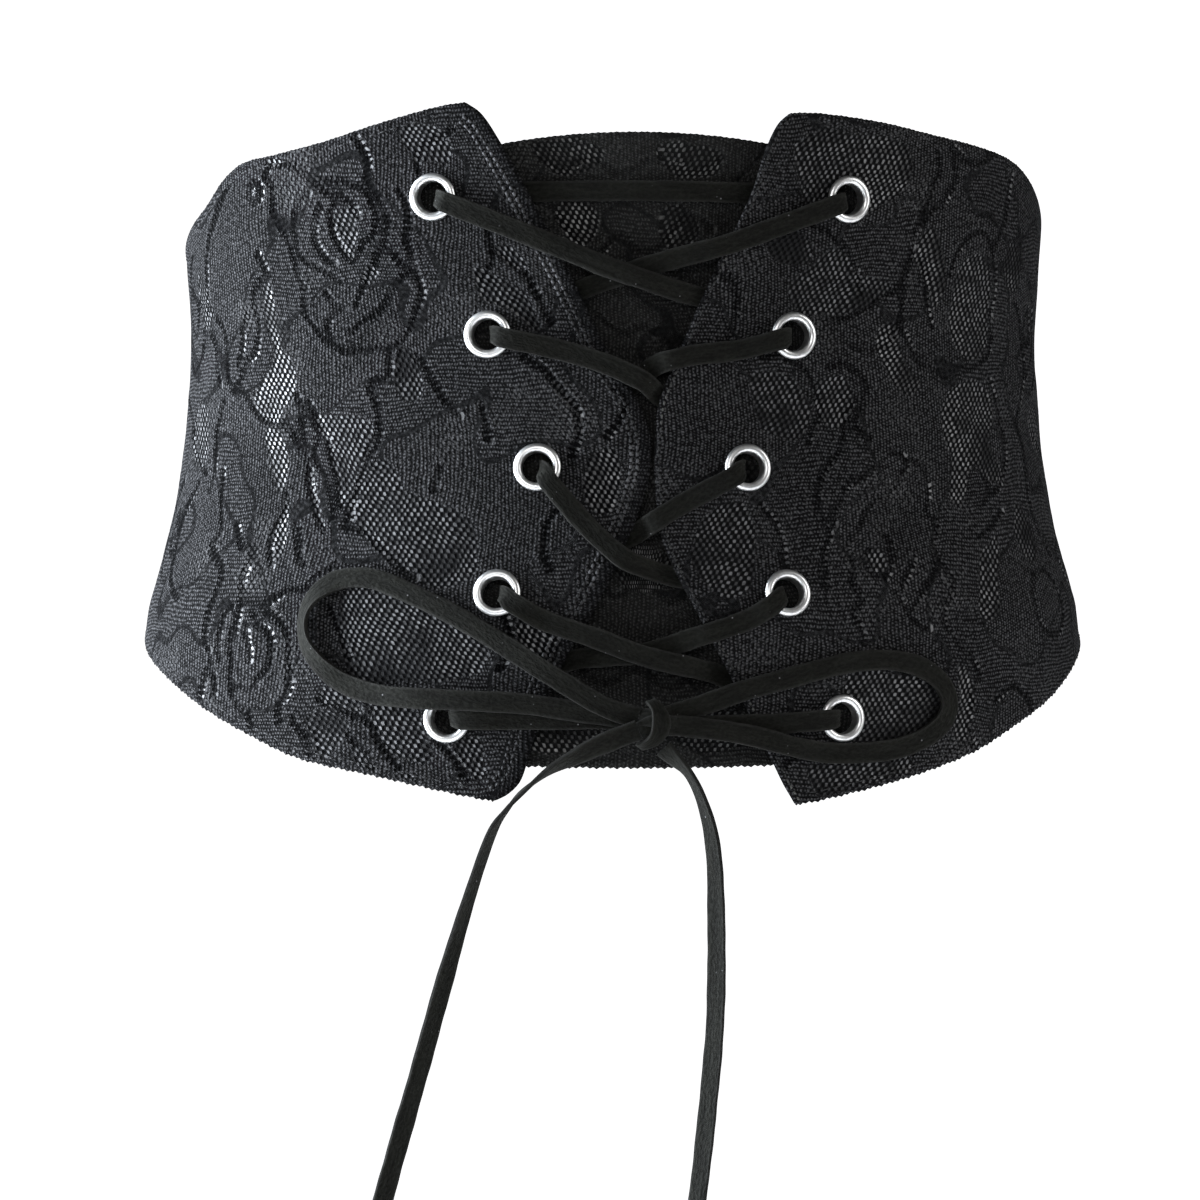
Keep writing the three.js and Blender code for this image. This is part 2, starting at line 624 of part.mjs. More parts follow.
const TAIL_RIGHT = [
  stop(3.7, -77.6, 3.9, 32), stop(6.9, -81, 3.8, 62), stop(9.7, -84.2, 3.7, 78),
  stop(12.4, -89.8, 3.6, 77), stop(14.8, -98.2, 3.4, 67), stop(16, -107, 3.2, 60),
  stop(16.4, -115.7, 3, 54), stop(16.6, -133.3, 3, 46), stop(16.2, -150.9, 3, 47),
  stop(14.8, -168.4, 3, 45), stop(13.1, -185.9, 3, 46), stop(12, -195.5, 3, 47),
  stop(10, -212, 3, 47),
];
add("bow_loop_left", flatCord(eased(LOOP_LEFT)), suede);
add("bow_loop_right", flatCord(eased(LOOP_RIGHT)), suede);
add("tail_left", flatCord(eased(TAIL_LEFT)), suede);
add("tail_right", flatCord(eased(TAIL_RIGHT)), suede);

export default belt;
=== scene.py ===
"""A wide lace-up belt for the waist: two lace-covered front panels with pointed inner edges,
laced over a cover panel, and an elastic band round the back. Lengths in the tables are
millimetres in the object's own frame, +Z up, with the front facing -Y."""
import math

import bmesh
import bpy
import numpy as np
from mathutils import Matrix, Vector


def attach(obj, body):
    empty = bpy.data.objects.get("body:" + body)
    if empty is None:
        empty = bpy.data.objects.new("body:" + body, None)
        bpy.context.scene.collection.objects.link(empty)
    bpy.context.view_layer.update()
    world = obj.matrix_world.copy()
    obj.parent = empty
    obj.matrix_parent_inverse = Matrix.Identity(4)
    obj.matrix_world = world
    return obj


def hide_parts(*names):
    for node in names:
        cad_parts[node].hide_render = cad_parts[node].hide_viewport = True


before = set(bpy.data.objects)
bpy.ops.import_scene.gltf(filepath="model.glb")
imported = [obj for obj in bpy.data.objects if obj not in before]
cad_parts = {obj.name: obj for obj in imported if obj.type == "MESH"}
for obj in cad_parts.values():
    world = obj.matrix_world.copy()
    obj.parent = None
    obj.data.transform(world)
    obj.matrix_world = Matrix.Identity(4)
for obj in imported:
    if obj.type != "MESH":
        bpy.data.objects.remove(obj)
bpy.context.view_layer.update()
bpy.ops.object.select_all(action="DESELECT")
scene = bpy.context.scene
MM = 0.001

# Camera, at the photograph's viewing angle
CAMERA_DISTANCE = 1600
CAMERA_AZIMUTH = math.radians(-5)
CAMERA_HEIGHT = -38.5
CAMERA_SIDESTEP = 3.92
CAMERA_LENS = 171.4
CAMERA_SENSOR = 36
CAMERA_CLIP = (0.05, 60)


def make_camera():
    bpy.ops.object.camera_add()
    camera = bpy.context.object
    camera.name = "camera"
    back = Vector((math.sin(CAMERA_AZIMUTH), -math.cos(CAMERA_AZIMUTH), 0))
    right = Vector((math.cos(CAMERA_AZIMUTH), math.sin(CAMERA_AZIMUTH), 0))
    place = back * CAMERA_DISTANCE - right * CAMERA_SIDESTEP
    camera.location = (place + Vector((0, 0, CAMERA_HEIGHT))) * MM
    camera.rotation_euler = (-back).to_track_quat("-Z", "Y").to_euler()
    camera.data.lens = CAMERA_LENS
    camera.data.sensor_width = CAMERA_SENSOR
    camera.data.clip_start, camera.data.clip_end = CAMERA_CLIP
    scene.camera = camera


make_camera()

# The belt's named sizes
WAIST_WIDTH = 241.6
WAIST_DEPTH = 174
FRONT_HEIGHT = 187
LACED_OPENING = 86
PANEL_REACH = 176
PANEL_THICKNESS = 1.8
COVER_WIDTH = 156
COVER_HEIGHT = 169
COVER_THICKNESS = 1.2
BAND_HEIGHT = 102
WEBBING_THICKNESS = 1.0
ELASTIC_ROW = 1.7
SEAM_LAP = 9
EYELET_ROWS = range(1, 6)
EYELET_BORE = 8.2
EYELET_FLANGE = 12.7
EYELET_CROWN = 1.0
EYELET_WALL = 0.45
WASHER_WIDTH = 10.8
WASHER_THICKNESS = 0.5
CORD_WIDTH = 5.5
CORD_THICKNESS = 1.2
KNOT_WIDTH = 8
CLEARANCE = 0.3
ROUND_GAP = 0.56
UNDER_PANEL = -(PANEL_THICKNESS + CLEARANCE)
WASHER_FACE = -(PANEL_THICKNESS + ROUND_GAP)
BACK_CORD = WASHER_FACE - WASHER_THICKNESS - ROUND_GAP - CORD_THICKNESS / 2
COVER_DEPTH = BACK_CORD - CORD_THICKNESS / 2 - ROUND_GAP
ON_PANEL = CLEARANCE + CORD_THICKNESS / 2
ON_EYELET = CLEARANCE + EYELET_CROWN + ROUND_GAP + CORD_THICKNESS / 2

# Half a girth at each height, as a share of the waist's
BODY_FORM = [
    (-1.0, 1.093), (-0.64, 1.091), (-0.45, 1.079), (-0.35, 1.06), (-0.24, 1.036), (-0.12, 1.015),
    (0.0, 1.0), (0.26, 0.982), (0.4, 0.98), (0.62, 0.992), (1.0, 1.006),
]
# Rise along a panel's inner edge, and the edge's distance from the middle, left and right
INNER_EDGE = [
    (0.0, 0.43, 0.432), (0.01, 0.39, 0.42), (0.03, 0.353, 0.396), (0.08, 0.322, 0.347),
    (0.2, 0.231, 0.227), (0.26, 0.16, 0.165), (0.36, 0.062, 0.068), (0.42, 0.008, 0.042),
    (0.47, -0.02, 0.035), (0.5, -0.023, 0.034), (0.53, -0.018, 0.038), (0.58, 0.025, 0.052),
    (0.65, 0.117, 0.115), (0.75, 0.223, 0.208), (0.88, 0.368, 0.341), (0.95, 0.453, 0.391),
    (0.985, 0.505, 0.429), (1.0, 0.552, 0.466),
]
# Heights of the panels' top and bottom edges from the inner corner to the side seam
TOP_EDGE = [
    (0.0, 0.501, 0.488), (0.06, 0.495, 0.489), (0.2, 0.472, 0.48), (0.32, 0.451, 0.467),
    (0.45, 0.436, 0.455), (0.55, 0.427, 0.444), (0.62, 0.406, 0.431), (0.7, 0.371, 0.408),
    (0.8, 0.345, 0.373), (0.9, 0.322, 0.339), (1.0, 0.305, 0.305),
]
BOTTOM_EDGE = [
    (0.0, -0.49, -0.496), (0.05, -0.483, -0.49), (0.22, -0.455, -0.46), (0.37, -0.431, -0.425),
    (0.48, -0.398, -0.388), (0.59, -0.363, -0.352), (0.68, -0.332, -0.319), (0.77, -0.304, -0.29),
    (0.88, -0.277, -0.268), (1.0, -0.254, -0.254),
]
COVER_FORM = [(0.0, 0.0), (0.4, 0.0), (0.8, 0.0), (0.9, 0.6), (1.0, 1.0)]
COVER_MIDDLE = 0.009
COVER_TOP_DROP = 0.075
COVER_BOTTOM_RISE = 0.018
EYELETS = [
    (0.367, 0.659, 0.668), (0.171, 0.491, 0.491), (-0.018, 0.327, 0.326),
    (-0.196, 0.428, 0.419), (-0.374, 0.563, 0.573),
]


def follow(table, column=1):
    """A smooth curve through a table's rows, by cubic steps between neighbours."""
    rows = np.array(table, float)
    x, y = rows[:, 0], rows[:, column]
    before = np.r_[0, np.arange(len(x) - 1)]
    after = np.r_[np.arange(1, len(x)), len(x) - 1]
    slope = (y[after] - y[before]) / (x[after] - x[before])

    def value(at):
        at = np.clip(np.asarray(at, float), x[0], x[-1])
        i = np.clip(np.searchsorted(x, at) - 1, 0, len(x) - 2)
        step = x[i + 1] - x[i]
        t = (at - x[i]) / step
        ease = t * t * (3 - 2 * t)
        leave = t * (1 - t) ** 2 * step * slope[i]
        arrive = t * t * (t - 1) * step * slope[i + 1]
        return y[i] + (y[i + 1] - y[i]) * ease + leave + arrive

    return value


girth_at = follow(BODY_FORM)
ARC_STEPS = 720
ANGLES = np.linspace(0, math.pi, ARC_STEPS + 1)
MIDDLES = (ANGLES[1:] + ANGLES[:-1]) / 2
SPEEDS = np.hypot(WAIST_WIDTH / 2 * np.cos(MIDDLES), WAIST_DEPTH / 2 * np.sin(MIDDLES))
ARCS = np.r_[0, np.cumsum(SPEEDS * math.pi / ARC_STEPS)]
BACK_ARC = ARCS[-1]


def wall(across, up, out):
    """Points on the belt's wall: across along the waistline's oval, up, and out of the wall."""
    across, up, out = np.broadcast_arrays(*(np.asarray(v, float) for v in (across, up, out)))
    girth = girth_at(up / (FRONT_HEIGHT / 2))
    a = WAIST_WIDTH / 2 * girth
    b = WAIST_DEPTH / 2 * girth
    angle = np.sign(across) * np.interp(np.abs(across), ARCS, ANGLES)
    sine, cosine = np.sin(angle), np.cos(angle)
    length = np.hypot(b * sine, a * cosine)
    x = a * sine + out * b * sine / length
    y = -b * cosine - out * a * cosine / length
    return np.stack([x, y, up], axis=-1)


def unit(v):
    return v / np.maximum(np.linalg.norm(v, axis=-1, keepdims=True), 1e-9)


def wall_frame(across, up):
    """The wall's own directions at a point: along it, up it and out of it."""
    step = 0.5
    along = unit(wall(across + step, up, 0) - wall(across - step, up, 0))
    rising = unit(wall(across, up + step, 0) - wall(across, up - step, 0))
    outward = unit(np.cross(along, rising))
    return along, unit(np.cross(outward, along)), outward


def eyelet_place(side, row):
    height, left, right = EYELETS[row - 1]
    return side * (left if side < 0 else right) * LACED_OPENING, height * FRONT_HEIGHT


def smooth(x, low, high):
    t = np.clip((x - low) / (high - low), 0, 1)
    return t * t * (3 - 2 * t)


def through(points, gap=1.0, closed=False, fewest=2):
    """Points about a gap apart on a smooth curve through given ones. A fourth column, such
    as a cord's roll, doesn't count in the gap."""
    p = np.array(points, float)
    count = len(p)
    made = []
    for i in range(count if closed else count - 1):
        picks = [i - 1, i, i + 1, i + 2]
        picks = [k % count if closed else min(max(k, 0), count - 1) for k in picks]
        a, b, c, d = p[picks]
        parts = max(fewest, round(float(np.linalg.norm((c - b)[:3])) / gap))
        for t in np.arange(parts) / parts:
            bend = (2 * a - 5 * b + 4 * c - d) * t + (3 * b - a - 3 * c + d) * t * t
            made.append(b + t / 2 * (c - a + bend))
    if not closed:
        made.append(p[-1])
    return np.array(made)


# The lace's drawing, in millimetres across and up. Lines are the openwork outlines of
# petals and leaves, nets the open mesh between the knitted motifs.
LEFT_LINES = [
    # upper rose, from its eye outwards
    [(-85, 67), (-86.5, 64), (-86.5, 60), (-85, 57), (-82.5, 54), (-80.5, 53)],
    [(-89.5, 66.5), (-91.5, 64), (-92.5, 60.5), (-92, 57), (-90.5, 54.5), (-88.5, 52.5),
     (-86, 51.5)],
    [(-93.5, 71), (-96, 69), (-98.5, 66), (-99, 63), (-98.5, 59.5), (-98, 57), (-97, 54.5),
     (-95, 52.5), (-93, 51.5), (-90.5, 50), (-88, 48.5), (-85, 47)],
    [(-109, 76), (-106.5, 74.5), (-105.5, 72), (-106, 68.5), (-106, 65), (-103.5, 61.5),
     (-101, 58.5), (-99.5, 55.5), (-99, 51), (-98, 48), (-96.5, 45), (-96.5, 40.5), (-95.5, 37),
     (-93, 34), (-90, 31.5), (-87.5, 30.5), (-84.5, 29), (-80, 28.5), (-76.5, 28), (-73, 29),
     (-69.5, 29.5)],
    [(-109, 76), (-107, 79), (-103, 78.5), (-99.5, 78.5), (-96, 77.5), (-93, 75.5), (-91, 73.5),
     (-88.5, 71), (-86, 69.5), (-82.5, 69.5), (-80, 67.5), (-78.5, 64)],
    [(-90, 74), (-88, 73.5), (-85, 73.5), (-81, 73.5), (-78.5, 72.5), (-76, 71), (-74.5, 69),
     (-73.5, 66.5), (-73, 63), (-73.5, 60), (-74.5, 58), (-77, 56.5), (-77.5, 54)],
    [(-79, 86), (-77, 83), (-76, 79.5), (-75, 77), (-75.5, 74), (-73.5, 70.5), (-71.5, 67.5),
     (-70, 63.5), (-70, 59.5), (-70.5, 56), (-72.5, 53.5), (-74, 50.5), (-76.5, 47.5), (-79, 43.5),
     (-80, 40.5)],
    [(-90, 44), (-88, 41.5), (-84, 39.5), (-87, 38.5), (-88.5, 36.5), (-89, 34), (-87.5, 31)],
    [(-66, 71), (-64, 66), (-64, 61.5), (-64, 57.5), (-63, 54), (-62.5, 50), (-61.5, 46.5),
     (-61, 42.5), (-61.5, 39.5), (-62.5, 36.5), (-64, 33.5), (-67, 30.5), (-69.5, 29.5)],
    [(-68, 54), (-66, 51.5), (-63, 50), (-66.5, 47.5), (-69, 44), (-70.5, 41), (-74, 37.5),
     (-77.5, 36), (-80, 34), (-82, 32.5)],
    [(-69.5, 29.5), (-70, 26), (-69.5, 22.5), (-71, 20.5), (-75, 19), (-74.5, 15.5), (-72.5, 11.5),
     (-71.5, 7.5), (-73, 3), (-75.5, -1.5), (-77, -9), (-78.5, -16), (-80, -20)],
    [(-115.5, 72.5), (-114.5, 70), (-112, 69.5), (-110.5, 72), (-112.5, 74.5), (-115.5, 72.5)],
    # leaves beside it
    [(-124.5, 18.5), (-121, 21.5), (-118.5, 26), (-115.5, 28.5), (-114, 32.5), (-114, 37.5),
     (-116, 42.5), (-114, 46), (-110.5, 48.5)],
    [(-122.5, 26), (-122, 28.5), (-120.5, 32), (-120.5, 35), (-118.5, 38)],
    [(-113.5, 55.5), (-111.5, 53.5), (-109, 50)],
    [(-127, 21), (-128.5, 27.5), (-129, 31), (-131, 36), (-135, 39), (-140, 42), (-148, 43)],
    [(-131.5, 20), (-134, 27), (-137, 33), (-143, 36)],
    [(-124.5, 18.5), (-120, 18), (-117.5, 16.5), (-114.5, 13.5), (-112, 11), (-107.5, 9),
     (-102, 9), (-99, 7), (-96, 2)],
    [(-100, 17), (-97.5, 14.5), (-96, 9), (-94.5, 1.5), (-93.5, -3.5), (-91.5, -9.5), (-89, -14.5),
     (-85.5, -19.5)],
    [(-95, 15), (-92.5, 10), (-90, 6), (-91.5, 0), (-87, -6.5), (-84.5, -11.5), (-83, -16.5)],
    [(-93, 11.5), (-87.5, 4), (-84.5, -4.5), (-83, -9.5), (-81, -14)],
    [(-126, -3), (-124, -12), (-123, -16.5), (-122, -19.5), (-123.5, -22)],
    [(-115.5, -18), (-113, -23), (-110.5, -24), (-106.5, -25)],
    [(-99.5, -9.5), (-98.5, -13.5), (-101.5, -18.5), (-102, -23.5), (-100, -29)],
    [(-95, -18.5), (-93, -23), (-91.5, -27.5), (-89.5, -29.5)],
    [(-80, -20), (-74, -20), (-68, -24), (-63, -29), (-58, -33)],
    [(-129, 16), (-131, 6), (-130, -6), (-131, -9)],
    [(-141, 40), (-139, 50), (-136, 60), (-130, 68), (-124, 74)],
    # lower rose
    [(-106.5, -25), (-107.5, -28), (-108, -30.5), (-108.5, -34), (-108, -37), (-107.5, -40.5),
     (-108, -44.5), (-108, -48)],
    [(-109, -46.5), (-110, -50.5), (-109.5, -55), (-109.5, -58.5), (-109, -61), (-108, -64.5),
     (-106, -67.5), (-103, -69), (-102, -71.5)],
    [(-125.5, -22.5), (-122.5, -26), (-117.5, -30), (-116.5, -33.5), (-117, -36), (-119, -40.5),
     (-119.5, -44.5), (-119.5, -47.5), (-119, -50.5), (-117.5, -52)],
    [(-111, -40), (-113, -41.5), (-113.5, -45), (-114, -48.5), (-114, -51.5), (-113.5, -54.5)],
    [(-105.5, -38), (-103.5, -39), (-99, -39), (-96, -37), (-93, -35.5), (-89, -36), (-86, -34),
     (-83.5, -31.5), (-80, -29)],
    [(-105, -45.5), (-104.5, -49), (-103.5, -52), (-103, -55)],
    [(-102.5, -41.5), (-101.5, -44.5), (-98.5, -46.5), (-97, -49), (-96.5, -52), (-96.5, -55.5),
     (-98, -58), (-100.5, -60), (-101.5, -62.5), (-104, -62.5), (-106, -61.5), (-108.5, -62)],
    [(-99, -41), (-96, -42.5), (-93.5, -45), (-91.5, -47.5), (-91, -51), (-91, -55), (-90.5, -58),
     (-90, -61.5), (-91.5, -64.5), (-93.5, -66), (-94, -69.5), (-93.5, -72)],
    [(-117, -56), (-118.5, -58.5), (-119.5, -61.5), (-120, -65)],
    [(-115.5, -59), (-114.5, -62), (-115, -65)],
    [(-84, -37.5), (-86, -41.5), (-84.5, -46), (-84.5, -50)],
    [(-81, -40), (-77.5, -45.5), (-75.5, -51.5), (-73.5, -55)],
    # towards the lower corner
    [(-89.5, -70.5), (-85.5, -75.5), (-84.5, -79)],
    [(-81, -64.5), (-77.5, -67), (-72.5, -69.5)],
    [(-72, -68.5), (-67.5, -71), (-66, -75), (-63.5, -79), (-61, -83)],
    [(-73.5, -74), (-70, -78), (-67.5, -82.5)],
    [(-52, -75), (-47, -80), (-44, -86)],
    [(-36, -40), (-33, -48), (-35, -56)],
    # beside the lacing
    [(-51, 86), (-57, 83), (-61, 78), (-60, 71)],
    [(-43, 64), (-41.5, 59), (-40.5, 52), (-44, 47)],
    [(-39, 54), (-33, 49), (-28, 41), (-24, 34)],
    [(-33, 26), (-26, 22), (-20, 15), (-17, 7), (-19, -2)],
    [(-62.5, 26.5), (-60, 24), (-57.5, 20), (-54.5, 16.5), (-50, 10)],
    [(-44, 13.5), (-42, 9), (-41, 4)],
    [(-54, -2.5), (-55, -6), (-56, -9)],
    [(-22, -14), (-25, -19), (-26, -25), (-23, -31)],
    [(-10, 4), (-6, 9), (-5, 15), (-9, 19)],
    # side
    [(-150, 56), (-156, 50), (-160, 41), (-159, 31), (-153, 25), (-146, 28), (-143, 34)],
    [(-154, 48), (-156, 40), (-153, 34), (-149, 36), (-149, 43), (-154, 48)],
    [(-139, -6), (-144, -14), (-146, -24), (-142, -33), (-135, -38)],
    [(-152, -5), (-157, -13), (-158, -23), (-153, -31), (-147, -33)],
    [(-150, -14), (-152, -21), (-149, -26), (-146, -21), (-150, -14)],
    [(-135, -4), (-145, 4), (-152, 13), (-162, 18)],
    [(-160, 6), (-166, -2), (-169, -12), (-167, -24)],
]
LEFT_NETS = [
    [(-86, 65), (-86.5, 61), (-85.5, 57.5), (-83, 54), (-80.5, 53.5), (-79.5, 58), (-79.5, 62),
     (-78.5, 65), (-80.5, 67), (-83, 66.5)],
    [(-110, 47.5), (-112, 44), (-111.5, 37.5), (-110, 33.5), (-108.5, 29.5), (-109, 26),
     (-110, 23.5), (-113, 19), (-114.5, 15), (-112.5, 12), (-110, 10), (-105.5, 9.5),
     (-103.5, 13.5), (-100.5, 16), (-99.5, 19.5), (-100.5, 24), (-103, 27), (-106.5, 29.5),
     (-107, 33.5), (-107.5, 38.5), (-108.5, 44)],
    [(-109, 8), (-104, 7), (-101, 1), (-100, -4), (-100.5, -9), (-102.5, -9.5), (-104.5, -6),
     (-106.5, -1), (-109, 4)],
    [(-101, -15), (-99, -11), (-98, -18), (-97, -26), (-100, -27), (-101.5, -21)],
    [(-93.5, -2), (-91.5, -3), (-90, -8), (-88.5, -12), (-86, -17), (-85, -20), (-87, -19),
     (-90, -13.5), (-92, -9), (-93.5, -5)],
    [(-93, 10.5), (-88, 4), (-87, 1.5), (-84.5, -4.5), (-83, -9.5), (-81, -13.5), (-78.5, -9.5),
     (-77, -2.5), (-73.5, 4), (-74.5, 8.5), (-80, 10.5), (-84.5, 11)],
    [(-76, -3), (-70, -1), (-66, -5), (-62, -10), (-56, -12), (-50, -14), (-44, -19), (-42, -27),
     (-44, -33), (-52, -35), (-60, -31), (-68, -26), (-74, -21), (-79, -15), (-78, -8)],
    [(-77, -36), (-67, -35), (-56, -38), (-46, -43), (-39, -50), (-41, -58), (-55, -60),
     (-70, -60), (-76, -54), (-77, -45)],
    [(-81.5, -61.5), (-76, -61.5), (-72.5, -63), (-70.5, -68), (-72, -68.5), (-76.5, -67.5),
     (-80.5, -65.5)],
    [(-84.5, -68.5), (-82, -67.5), (-78.5, -68), (-74.5, -70.5), (-73.5, -74), (-76, -76.5),
     (-79.5, -80.5), (-82, -79.5), (-84.5, -74.5), (-86, -71.5)],
    [(-69, -65), (-60, -65.5), (-54.5, -70.5), (-54, -74), (-51.5, -78.5), (-54, -81.5),
     (-59.5, -80.5), (-62.5, -79.5), (-65.5, -74.5), (-67.5, -70.5)],
    [(-73, -77), (-70, -79), (-68, -83), (-72, -83)],
    [(-62, -84.5), (-57, -85), (-58, -87.5), (-63, -86.5)],
    [(-90, -79), (-84, -80), (-80, -82), (-86, -82)],
    [(-46.5, -75.5), (-40.5, -74.5), (-39.5, -80), (-40, -86), (-43.5, -84.5), (-45.5, -80)],
    [(-66, 86), (-61, 88), (-55, 87), (-51, 82), (-53, 77), (-57, 78.5), (-60, 77), (-63, 80)],
    [(-108, 80.5), (-103.5, 81), (-103, 79), (-107.5, 78.5)],
    [(-77.5, 50), (-73.5, 49.5), (-75.5, 45.5), (-77.5, 47)],
    [(-46, 49), (-41, 48), (-34, 45), (-29, 38), (-28, 33), (-33, 36), (-38, 40), (-44, 41.5)],
    [(-39.5, 56), (-35, 55), (-31, 50), (-35.5, 50), (-38.5, 53)],
    [(-30, -40), (-24, -43), (-20, -52), (-25, -56), (-31, -50)],
    [(-67, 29), (-63, 27), (-61, 22), (-60, 17), (-64, 14), (-68, 18), (-68, 24)],
    [(-145, 52), (-139, 46), (-137, 38), (-142, 36), (-147, 43)],
    [(-143, 16), (-136, 8), (-137, -1), (-144, -1), (-148, 8)],
    [(-14, 0), (-8, 1), (-6, -8), (-10, -16), (-16, -10)],
]
RIGHT_LINES = [
    # rose, from its eye outwards
    [(65.5, -21.5), (66.5, -25), (66, -29.5), (63.5, -32), (60, -31.5), (58.5, -28), (60, -24.5)],
    [(57, -20), (60, -15.5), (61.5, -14.5), (64.5, -11.5), (68.5, -9), (70.5, -8), (74, -4),
     (75.5, -1.5), (74, 1), (70.5, 1.5)],
    [(55, -21.5), (54, -25), (55, -29.5), (53.5, -33), (55, -37.5), (56, -39.5), (53.5, -42),
     (55, -46.5), (55, -50)],
    [(63.5, -3), (60.5, -5.5), (56.5, -8), (54.5, -11.5), (51.5, -14.5), (51, -18.5)],
    [(57, 12), (56.5, 7), (54.5, 1.5), (50.5, -2.5), (48, -6.5), (47, -12), (47.5, -17),
     (49.5, -21.5), (47.5, -25), (46.5, -30), (46, -34.5)],
    [(77, -0.5), (80, -2.5), (82, -5), (82, -9.5), (80, -14.5), (82, -17.5), (81.5, -21.5),
     (80, -25), (82, -28), (84, -33), (83, -37.5), (80.5, -39)],
    [(73.5, -27), (71.5, -31), (68.5, -34.5)],
    [(79.5, -29.5), (77, -33), (73.5, -36.5), (70, -41)],
    [(66, -36.5), (67.5, -40), (70, -44), (75, -46)],
    [(80.5, -39), (80, -45), (81.5, -48.5), (84.5, -51), (88, -54), (91, -59)],
    [(57, 12), (62, 16), (60, 9), (64, 5)],
    [(103, -4), (104.5, -7.5), (104, -10), (100.5, -12.5)],
    [(109.5, -14.5), (103, -18.5), (97, -21.5)],
    # above it
    [(82, 53), (84, 47), (85, 41), (87, 36)],
    [(79, 56), (76, 48), (76, 39), (78, 31), (83, 25), (91, 23), (100, 24), (110, 28)],
    [(79, 60), (84, 66), (90, 70), (93, 76), (92, 84)],
    [(86, 83), (87, 77), (84, 71), (79, 60)],
    [(92, 84), (99, 80), (106, 82), (112, 84)],
    [(111, 57), (115, 64), (118, 72), (119, 79)],
    [(93, 50), (97, 58), (104, 62), (111, 57), (113, 48), (112, 38), (111, 29)],
    [(111, 22), (114, 12), (116, 3), (112, -6), (106, -9)],
    [(52, 36), (60, 38), (68, 42), (76, 46)],
    [(60, 30), (68, 29), (73, 33), (76, 39)],
    [(46, 62), (54, 58), (60, 52), (62, 44)],
    [(20, 49), (25, 46), (26, 38), (23, 31)],
    [(52, 24), (59, 24), (64, 19), (62, 12)],
    [(33, 27), (40, 26), (47, 21), (49, 12), (46, 4)],
    [(30, -12), (35, -19), (36, -28), (39, -36)],
    # side and lower corner
    [(88, -62), (86, -70), (89, -78), (94, -82)],
    [(118, -31), (115, -38), (118, -46), (125, -48), (131, -43), (131, -35), (125, -30),
     (118, -31)],
    [(96, -66), (102, -62), (108, -64), (110, -70)],
    [(123, 10), (127, 3), (126, -8), (128, -18), (133, -26)],
    [(123, 10), (130, 18), (133, 28), (130, 38), (124, 44)],
    [(134, 50), (141, 45), (144, 36), (141, 28), (134, 24)],
    [(137, 43), (140, 37), (137, 32), (133, 36), (137, 43)],
    [(146, 55), (152, 46), (153, 36), (149, 26), (142, 20)],
    [(140, 6), (147, 0), (150, -10), (147, -20), (140, -25)],
    [(158, 12), (164, 4), (166, -6), (163, -17), (156, -24)],
    [(150, 12), (157, 22), (163, 31), (170, 36)],
    [(140, -25), (145, -34), (152, -39)],
    [(34, -82), (40, -79), (48, -80), (58, -79)],
]
RIGHT_NETS = [
    [(43, 84), (52, 87), (64, 86), (76, 84), (77, 74), (68, 67), (56, 63), (46, 67), (42, 76)],
    [(37, 62), (46, 58), (47, 52), (39, 51), (34, 56)],
    [(45, 49), (53, 55), (59, 52), (58, 44), (51, 38), (43, 39), (40, 44)],
    [(52, 47), (62, 49), (72, 46), (68, 42), (60, 39), (52, 38)],
    [(31, 22), (38, 22), (45, 17), (46, 9), (41, 4), (33, 7), (30, 14)],
    [(50, 21), (57, 21), (60, 15), (56, 8), (50, 9), (48, 15)],
    [(96, 50), (103, 56), (110, 52), (111, 42), (110, 31), (103, 27), (96, 30), (94, 40)],
    [(90, 15), (97, 20), (107, 21), (111, 13), (109, 4), (111, -4), (106, -6), (100, -2),
     (93, -13), (90, -10), (92, 0), (90, 6)],
    [(98, -25), (105, -21), (104, -28), (101, -36), (99, -43), (94, -44), (92, -39), (94.5, -33)],
    [(108, -1), (112, -1), (114, -4), (111, -6.5), (108, -5)],
    [(52, -58), (64, -58), (75, -61), (80, -67), (76, -75), (64, -78), (54, -78), (50, -68)],
    [(41, -83), (54, -81), (68, -81), (70, -84), (56, -88), (44, -91)],
    [(16, -16), (26, -13), (29, -25), (26, -36), (18, -37), (12, -27)],
    [(84, -56), (88, -60), (88, -70), (85, -77), (82, -72), (84, -64)],
    [(80, 54), (84, 62), (88, 60), (92, 50), (88, 40), (85, 46)],
    [(70, 36), (75, 36), (76, 28), (82, 20), (78, 17), (71, 22), (68, 30)],
    [(60, -25), (64, -25), (65, -30), (61, -31)],
    [(121, 60), (128, 54), (127, 47), (120, 48), (118, 54)],
    [(118, -12), (123, -16), (124, -26), (118, -27), (114, -20)],
    [(136, 14), (144, 14), (147, 6), (140, 2), (134, 8)],
]
COVER_LINES = [
    [(-30, 80), (-22, 76), (-14, 79), (-5, 75), (4, 79), (13, 75), (22, 79)],
    [(-24, 66), (-20, 58), (-13, 54), (-6, 58), (0, 54), (7, 57), (13, 64), (20, 60)],
    [(-12, 38), (-6, 32), (1, 35), (8, 30)],
    [(-14, -30), (-8, -37), (0, -34), (8, -39), (13, -33)],
    [(-18, -56), (-10, -60), (-2, -57), (6, -61), (14, -58)],
]
COVER_NETS = [
    [(-30, 83), (-20, 84), (-11, 82), (-13, 76), (-24, 75)],
    [(4, 82), (14, 83), (22, 81), (21, 75), (10, 74)],
    [(-23, 67), (-15, 68), (-12, 60), (-17, 55), (-22, 59)],
    [(6, 65), (13, 66), (16, 58), (10, 54), (5, 58)],
    [(-9, -26), (0, -24), (7, -28), (5, -35), (-4, -36)],
    [(-28, -70), (-12, -68), (-4, -74), (-16, -79), (-30, -77)],
    [(8, -68), (22, -68), (30, -74), (18, -79), (8, -76)],
]


